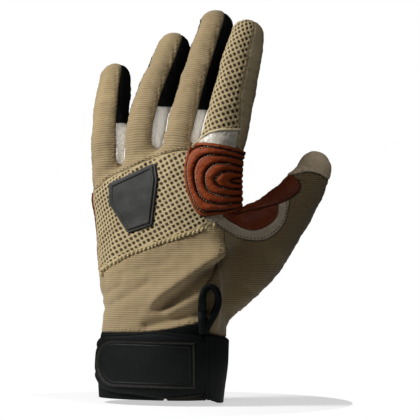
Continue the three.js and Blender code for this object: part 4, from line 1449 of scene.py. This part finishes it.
def sweep(path: Points, out: Points, section: Callable[[float], np.ndarray]) -> Skin:
    """Carries a section along a path.

    Args:
        path: the path's points.
        out: the direction out of the surface at each.
        section: gives the section's points, sideways and outward, at a share of the length.

    Returns:
        The swept mesh, facing out, with its ends filled.
    """
    tangent = np.gradient(path, axis=0)
    tangent /= np.linalg.norm(tangent, axis=1)[:, None]
    side = np.cross(tangent, out)
    side /= np.linalg.norm(side, axis=1)[:, None]
    up = np.cross(side, tangent)
    count = len(path)
    rings = []
    for i in range(count):
        shape = section(i / (count - 1))
        rings.append(path[i] + shape[:, :1] * side[i] + shape[:, 1:2] * up[i])
    size = len(rings[0])
    points = np.concatenate(rings + [path[:1], path[-1:]])
    start = (np.arange(count - 1) * size)[:, None]
    k = np.arange(size)[None, :]
    a, b = (start + k).ravel(), (start + (k + 1) % size).ravel()
    k = np.arange(size)
    last = (count - 1) * size
    faces = [np.stack([a, a + size, b], axis=1), np.stack([b, a + size, b + size], axis=1),
             np.stack([np.full(size, count * size), k, (k + 1) % size], axis=1),
             np.stack([np.full(size, count * size + 1), last + (k + 1) % size, last + k], axis=1)]
    run = run_lengths(path)
    values = {"run": np.concatenate([np.repeat(run, size), run[:1], run[-1:]]),
              "across": np.concatenate([np.tile(np.arange(size) * 0.5, count), [0, 0]])}
    return Skin(points, np.concatenate(faces), values)


def ring_section(radius: float, sides: int, shift: tuple[float, float] = (0, 0)) -> np.ndarray:
    """Gives a round section, moved sideways and outward."""
    angle = np.arange(sides) * 2 * math.pi / sides
    return np.stack([np.cos(angle) * radius + shift[0], np.sin(angle) * radius + shift[1]], axis=1)


def merged(skins: Sequence[Skin]) -> Skin:
    """Puts several meshes into one."""
    points: list[Points] = []
    faces: list[np.ndarray] = []
    values: dict[str, list[np.ndarray]] = {}
    start = 0
    for skin in skins:
        points.append(skin.points)
        faces.append(skin.faces + start)
        start += len(skin.points)
        for key in ("run", "across"):
            values.setdefault(key, []).append(skin.values.get(key, np.zeros(len(skin.points))))
    return Skin(np.concatenate(points), np.concatenate(faces), {key: np.concatenate(v) for key, v in values.items()})


@dataclass
class Stitching:
    """Rows of single stitches along lines on the glove."""

    surface: Surface
    pitch: float = 2.4
    length: float = 1.6
    radius: float = 0.3
    slant: float = 0.0

    def row(self, rows: Sequence[Row]) -> list[Skin]:
        """Makes the stitches of one line, given by u and z."""
        return self.along(*self.surface.path(rows, self.pitch))

    def along(self, points: Points, out: Points) -> list[Skin]:
        """Makes one stitch at each place of a line in space."""
        way = np.gradient(points, axis=0)
        way /= np.maximum(np.linalg.norm(way, axis=1), 1e-9)[:, None]
        side = np.cross(way, out)
        made = []
        for place, tangent, across, up in zip(points, way, side, out):
            half = (tangent + across * self.slant) * self.length / 2
            ends = np.array([place - half - up * self.radius, place - half * 0.6 + up * self.radius * 0.55,
                             place + half * 0.6 + up * self.radius * 0.55, place + half - up * self.radius])
            made.append(sweep(ends, np.tile(up, (4, 1)), lambda share: ring_section(self.radius, 6)))
        return made


@dataclass
class Overlay:
    """A piece that lies on the glove over an outline of the turned view, with a shaped top."""

    glove: GloveSkin
    name: str
    node: str
    outline: Sequence[Row]
    finish: Finish
    slot: str
    # The piece ends where the ground is less far out than this, and stands this high
    near: float = -12.0
    base: float = 0.9
    skirt: float = 2.2
    fine: int = 1
    corner: int = 3
    margin: float = 3.0
    smoothings: int = 12

    def profile(self, skin: Skin, edge: np.ndarray) -> np.ndarray:
        """Gives the height of the top over the base, from the distance to the edge."""
        return rounded(edge, 1.0) * 1.5

    def sheet(self) -> Skin:
        """Cuts the ground out of the glove's skin and raises it."""
        whole = self.glove.skin
        u, w, z = turned(whole.points)
        rows = np.asarray(self.outline, float)
        (low_u, low_z), (high_u, high_z) = rows.min(axis=0) - self.margin, rows.max(axis=0) + self.margin
        close = (u > low_u) & (u < high_u) & (z > low_z) & (z < high_z) & (w > self.near - 2)
        skin = whole.part(close[whole.faces].all(axis=1))
        skin = self._smooth(skin)
        for _ in range(self.fine):
            skin = skin.refined()
        u, w, z = turned(skin.points)
        dense = smooth_rows(self.outline, self.corner, closed=True) if self.corner > 1 else rows
        skin.values["outline"] = outline_distance(np.stack([u, z], axis=1), dense)
        skin.values["near"] = self.near - w
        skin = skin.cut("outline").cut("near")
        skin = skin.part((skin.mean("outline") < 0) & (skin.mean("near") < 0))
        edge = np.minimum(-skin.values["outline"], -skin.values["near"] * 1.4)
        skin.values["edge"] = edge
        skin.values["across"], _, skin.values["run"] = turned(skin.points)
        normal = skin.normals()
        height = self.base + self.profile(skin, edge)
        skin.points = skin.points + normal * height[:, None]
        return skin.skirted(self.skirt, normal)

    def _smooth(self, skin: Skin) -> Skin:
        """Evens out the ground's small wrinkles."""
        edges = triangle_edges(skin.faces)
        edges = np.concatenate([edges, edges[:, ::-1]])
        count = np.bincount(edges[:, 0], minlength=len(skin.points))
        fixed = np.isin(np.arange(len(skin.points)), skin.rim())
        for _ in range(self.smoothings):
            total = np.stack([np.bincount(edges[:, 0], skin.points[edges[:, 1], k], len(skin.points))
                              for k in range(3)], axis=1)
            even = total / np.maximum(count, 1)[:, None]
            skin.points = np.where(fixed[:, None], skin.points, skin.points * 0.5 + even * 0.5)
        return skin

    def build(self) -> Skin:
        """Makes the piece and gives its mesh."""
        skin = self.sheet()
        self.piece = place_piece(self.name, skin, self.finish, self.slot, [self.node])
        return skin


GROOVES: tuple[list[Row], ...] = (
    [(66, 148.2), (55, 149.6), (47.6, 152.4), (40, 154.3), (32.6, 155.6), (26.8, 155.4), (20.6, 151.6), (17.9, 146),
     (17.4, 138.8), (18.9, 129.7), (21.7, 122.2), (25.2, 117.2), (30, 116.1), (40, 117.2), (49.7, 118.6),
     (58, 120.4), (66, 121.6)],
    [(66, 144.2), (54, 147.2), (40.3, 150.3), (31.8, 150.6), (26.2, 148.4), (23.2, 143.1), (22.4, 137.1),
     (24.2, 128.4), (28.2, 122.9), (35, 120.9), (44, 121.3), (55, 122.9), (66, 124.4)],
    [(66, 140), (52, 143.2), (41, 145.2), (34.4, 144.7), (30, 141.1), (28.6, 136.1), (29.8, 130.2), (33.8, 126.7),
     (41, 125.2), (50.2, 125.9), (66, 127.6)],
    [(66, 136.4), (52, 139.4), (43.2, 140.6), (38.6, 139.8), (35.3, 137.4), (34.6, 134.6), (36.3, 131.9),
     (40.8, 130.1), (49.7, 129.7), (66, 130.8)],
    [(66, 133.6), (52, 135.9), (45.4, 136.4), (42.2, 135), (45, 133.4), (52, 133.1), (66, 133.4)],
)


def line_distance(plane: np.ndarray, rows: np.ndarray) -> np.ndarray:
    """Gives the distance of points in a plane from an open line."""
    best = np.full(len(plane), 1e9)
    for a, b in zip(rows[:-1], rows[1:]):
        edge = b - a
        along = np.clip(((plane - a) @ edge) / max(edge @ edge, 1e-9), 0, 1)
        best = np.minimum(best, np.linalg.norm(plane - a - along[:, None] * edge, axis=1))
    return best


@dataclass
class KnucklePatch(Overlay):
    """The padded leather patch, quilted in rows one inside the other."""

    tube: float = 2.9
    tube_roll: float = 2.6
    pit_width: float = 0.9
    rim_width: float = 2.1

    def profile(self, skin: Skin, edge: np.ndarray) -> np.ndarray:
        """Gives a flat rim and fat tubes between the grooves."""
        u, _, z = turned(skin.points)
        plane = np.stack([u, z], axis=1)
        gaps = [line_distance(plane, smooth_rows(rows, 4)) for rows in GROOVES]
        gap = np.min(gaps, axis=0)
        # The pit value also darkens the leather's colour along the grooves: painted shade
        skin.values["pit"] = np.exp(-((gap / self.pit_width) ** 2)) * np.clip((edge - 0.6) / 1.2, 0, 1)
        tube = rounded(gap, self.tube_roll) * self.tube * np.interp(u, [38, 51], [1, 0.3])
        rim = np.where(edge < self.rim_width, np.minimum(tube, 0.9 * rounded(edge, 0.9)), tube)
        soft = 0.14 * wobble(skin.points, 6, 4) + 0.1 * wobble(skin.points, 3, 8) * np.clip(gap, 0, 1)
        pucker = 0.16 * np.exp(-((gap - 0.9) / 0.8) ** 2) * wobble(skin.points, 2.4, 21)
        return rim + soft * np.clip(edge / 2, 0, 1) + pucker

    def build(self) -> Skin:
        """Makes the patch and its stitches."""
        skin = super().build()
        surface = Surface([skin])
        pale: list[Skin] = []
        for number, rows in enumerate(GROOVES[:4]):
            line = smooth_rows(rows, 4)
            line = line[line[:, 0] < (46 if number else 30)]
            stitching = Stitching(surface, 1.7, 0.95, 0.2, 0.3)
            points, out = surface.path(line, stitching.pitch)
            pale += stitching.along(points + out * 0.15, out)
        place_piece("patch_stitches", merged(pale), CREAM_THREAD, "tan_piping")
        dark: list[Skin] = []
        line = smooth_rows(GROOVES[0], 4)
        stitching = Stitching(surface, 1.75, 1.25, 0.24)
        turn = int(np.argmin(line[:, 0]))
        for half in (line[:turn], line[turn:]):
            points, out = surface.path(half[half[:, 0] >= 24], stitching.pitch)
            dark += stitching.along(points + out * 0.15, out)
        place_piece("patch_rim_stitches", merged(dark), BLACK_THREAD, "black_cloth")
        return skin


@dataclass
class Badge(Overlay):
    """The moulded badge with a raised border round a blank face."""

    def profile(self, skin: Skin, edge: np.ndarray) -> np.ndarray:
        """Gives a bevelled flange, a raised border and a sunk face."""
        flange = rounded(edge, 0.5) * 0.9
        border = np.clip((edge - 1.3) / 0.5, 0, 1) * 0.9
        face = np.clip((edge - 2.8) / 0.5, 0, 1) * 0.45
        return flange + border - face


@dataclass
class Strap(Overlay):
    """The wrist strap with its sewn edge and raised plate line."""

    def profile(self, skin: Skin, edge: np.ndarray) -> np.ndarray:
        """Gives a soft strap with a pressed line near its edge."""
        return rounded(edge, 1.1) * 1.5 - 0.5 * np.exp(-((edge - 1.9) / 0.4) ** 2)


@dataclass
class StrapPlate(Overlay):
    """The moulded plate on the strap, with a raised bead round a blank face."""

    def profile(self, skin: Skin, edge: np.ndarray) -> np.ndarray:
        """Gives a bead at the border and a flat face."""
        bead = 1.1 * np.exp(-((edge - 0.9) / 0.5) ** 2)
        second = 0.4 * np.exp(-((edge - 2.8) / 0.45) ** 2)
        return rounded(edge, 0.5) * 0.7 + bead + second


@dataclass
class StrapTab(Overlay):
    """The tab beside the strap, with two sewn ridges along its inner edge."""

    drop: float = 3.0

    def sheet(self) -> Skin:
        """Draws the tab's outer corner down below the cuff."""
        skin = super().sheet()
        u, _, z = turned(skin.points)
        skin.points[:, 2] -= self.drop * np.clip((9 - z) / 9, 0, 1) * np.clip((u - 27) / 9, 0, 1)
        return skin

    def profile(self, skin: Skin, edge: np.ndarray) -> np.ndarray:
        """Gives a flat tab with two upright ridges."""
        u, _, _ = turned(skin.points)
        ridges = sum(0.6 * np.exp(-((u - at) / 0.5) ** 2) for at in (28.6, 30.6))
        return rounded(edge, 0.9) * 1.4 + ridges * np.clip(edge, 0, 1)


PLATE: list[Row] = [
    (21.6, 35.2), (20.4, 36.3), (0, 36.4), (-20, 36.4), (-29, 36), (-34.6, 31.6), (-37, 22), (-34.6, 13), (-29, 8.4),
    (-20, 8), (0, 8), (20.4, 8.1), (21.6, 9.2),
]


@dataclass
class WristClosure:
    """The strap, its plate, the tab and the pull loop."""

    glove: GloveSkin
    loop_lift: float = 2.4
    loop_rise: float = 1.2
    loop_width: float = 2.3
    loop_sway: float = 0.3
    loop_depth: float = 2.2
    loop_corner: float = 0.6

    def build(self) -> list[Skin]:
        """Makes the closure's pieces."""
        common = {"glove": self.glove, "near": -14.0, "skirt": 2.0}
        strap = Strap(name="strap", node="wrist_strap", outline=STRAP, finish=WEBBING, slot="black_cloth",
                      base=0.7, corner=2, **common).build()
        plate = StrapPlate(name="plate", node="strap_plate", outline=PLATE, finish=STRAP_RUBBER, slot="black_rubber",
                           base=2.1, corner=3, fine=2, **common).build()
        tab = StrapTab(name="tab", node="strap_tab", outline=TAB, finish=WEBBING, slot="black_cloth", base=0.8,
                       corner=1, **common).build()
        self._loop(Surface([self.glove.skin]))
        return [strap, plate, tab]

    def _loop(self, ground: Surface) -> None:
        """Makes the pull loop of doubled webbing."""
        points, _ = ground.path(smooth_rows(PULL_LOOP, 6), 0.8)
        count = len(points)
        lift = self.loop_lift + self.loop_rise * np.sin(np.linspace(0, math.pi, count))
        points = points + OUTWARD * lift[:, None]
        facing = np.tile(OUTWARD, (count, 1))

        def section(share: float) -> np.ndarray:
            """Gives a flat band that stands on edge, with rounded corners."""
            angle = np.arange(12) * 2 * math.pi / 12
            width = self.loop_width + self.loop_sway * math.sin(share * 9)
            return np.stack([np.sign(part) * np.abs(part) ** self.loop_corner * size
                             for part, size in ((np.cos(angle), width), (np.sin(angle), self.loop_depth))], axis=1)

        skin = sweep(points, facing, section)
        place_piece("loop", skin, WEBBING, "black_cloth", ["pull_loop"])


@dataclass
class PalmReinforcement:
    """The plain leather patch on the palm."""

    glove: GloveSkin
    # The patch ends at this y, towards the back of the hand
    back_edge: float = -3.8

    def build(self) -> None:
        """Makes the patch from the palm side of the skin."""
        whole = self.glove.skin
        x, y, z = whole.points.T
        u, w, _ = turned(whole.points)
        plane = np.stack([x, z], axis=1)
        rows = smooth_rows(PALM_PATCH, 4, closed=True)
        hidden = (w < table(PARTING, u) + 5) & (y > -9)
        distance = outline_distance(plane, rows)
        skin = whole.part((hidden & (distance < 3))[whole.faces].all(axis=1))
        skin = skin.refined()
        skin.values["outline"] = outline_distance(skin.points[:, [0, 2]], rows)
        skin.values["near"] = self.back_edge - skin.points[:, 1]
        skin = skin.cut("outline").cut("near")
        skin = skin.part((skin.mean("outline") < 0) & (skin.mean("near") < 0))
        edge = np.minimum(-skin.values["outline"], -skin.values["near"])
        skin.values["edge"] = edge
        normal = skin.normals()
        skin.points = skin.points + normal * (0.5 + 0.8 * rounded(edge, 0.8))[:, None]
        skin = skin.skirted(1.2, normal)
        place_piece("palm_reinforcement", skin, RUST, "rust_leather", ["palm_patch"])


@dataclass
class Trim:
    """The piping, cords and topstitching on the back of the glove."""

    surface: Surface

    def build(self) -> None:
        """Makes every line of trim."""
        self._piping()
        self._cords()
        self._seams()

    def _twisted(self, path: Points, out: Points, radius: float, twist: float) -> Skin:
        """Makes a cord of two strands that turn round each other."""
        total = run_lengths(path)[-1]
        strands = []
        for start in (0.0, math.pi):
            def section(share: float, start: float = start) -> np.ndarray:
                """Gives one strand's round section beside the path."""
                angle = start + 2 * math.pi * share * total / twist
                aside = (math.cos(angle) * radius * 0.5, math.sin(angle) * radius * 0.5)
                return ring_section(radius * 0.62, 7, aside)

            strands.append(sweep(path, out, section))
        return merged(strands)

    def _piping(self) -> None:
        """Makes the raised twisted piping along the mesh's lower seam."""
        line = smooth_rows([(-39.4, 76.6), *SEAMS["mesh_lower"][2:-1], (34.6, 108.1)], 6)
        path, out = self.surface.path(line, 0.4, 0.75, even=40)
        place_piece("piping", self._twisted(path, out, 1.35, 6.0), CORD, "tan_piping", ["mesh_piping"])

    def _cords(self) -> None:
        """Makes the rolled cord at the foot of the index mesh."""
        path, out = self.surface.path(smooth_rows(INDEX_CORD, 6), 0.5, 0.45, even=12)
        cord = sweep(path, out, lambda share: ring_section(0.85, 8))
        place_piece("index_cord", cord, CREAM_THREAD, "tan_piping")

    def _seams(self) -> None:
        """Makes the topstitching of the seams that the back shows."""
        khaki = Stitching(self.surface, 2.5, 1.8, 0.26)
        knuckle = smooth_rows(SEAMS["knuckle"][1:-1], 5)
        side = smooth_rows(WRIST_SIDE[3:-1], 5)[:, ::-1]
        made = khaki.row(np.asarray(knuckle) + [0.3, 1.5])
        made += khaki.row(side + [-1.6, 0])
        place_piece("cloth_stitches", merged(made), KHAKI_THREAD, "tan_piping")
        fine = Stitching(self.surface, 2.2, 1.5, 0.22)
        band = smooth_rows(BAND[:10], 5)
        saddle = smooth_rows(SADDLE[1:8], 5)
        made = fine.row(band + [-0.6, 1.3]) + fine.row(saddle + [-1.0, 1.0])
        place_piece("saddle_stitches", merged(made), BLACK_THREAD, "black_cloth")


def main() -> None:
    """Builds every piece in order."""
    logging.basicConfig(level=logging.INFO, format="%(message)s")
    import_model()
    Studio().build()
    glove = GloveSkin()
    glove.build()
    skins = SewnPanels(glove).build()
    Lining(glove).build()
    skins.append(KnucklePatch(glove, "patch", "knuckle_patch", PATCH, RUST, "rust_leather", near=9.0, base=1.2,
                              skirt=2.6, fine=2).build())
    skins.append(Badge(glove, "badge_plate", "badge", BADGE, RUBBER, "black_rubber", base=0.8, fine=2,
                       corner=1).build())
    skins += WristClosure(glove).build()
    PalmReinforcement(glove).build()
    Trim(Surface(skins)).build()


if __name__ == "__main__":
    main()
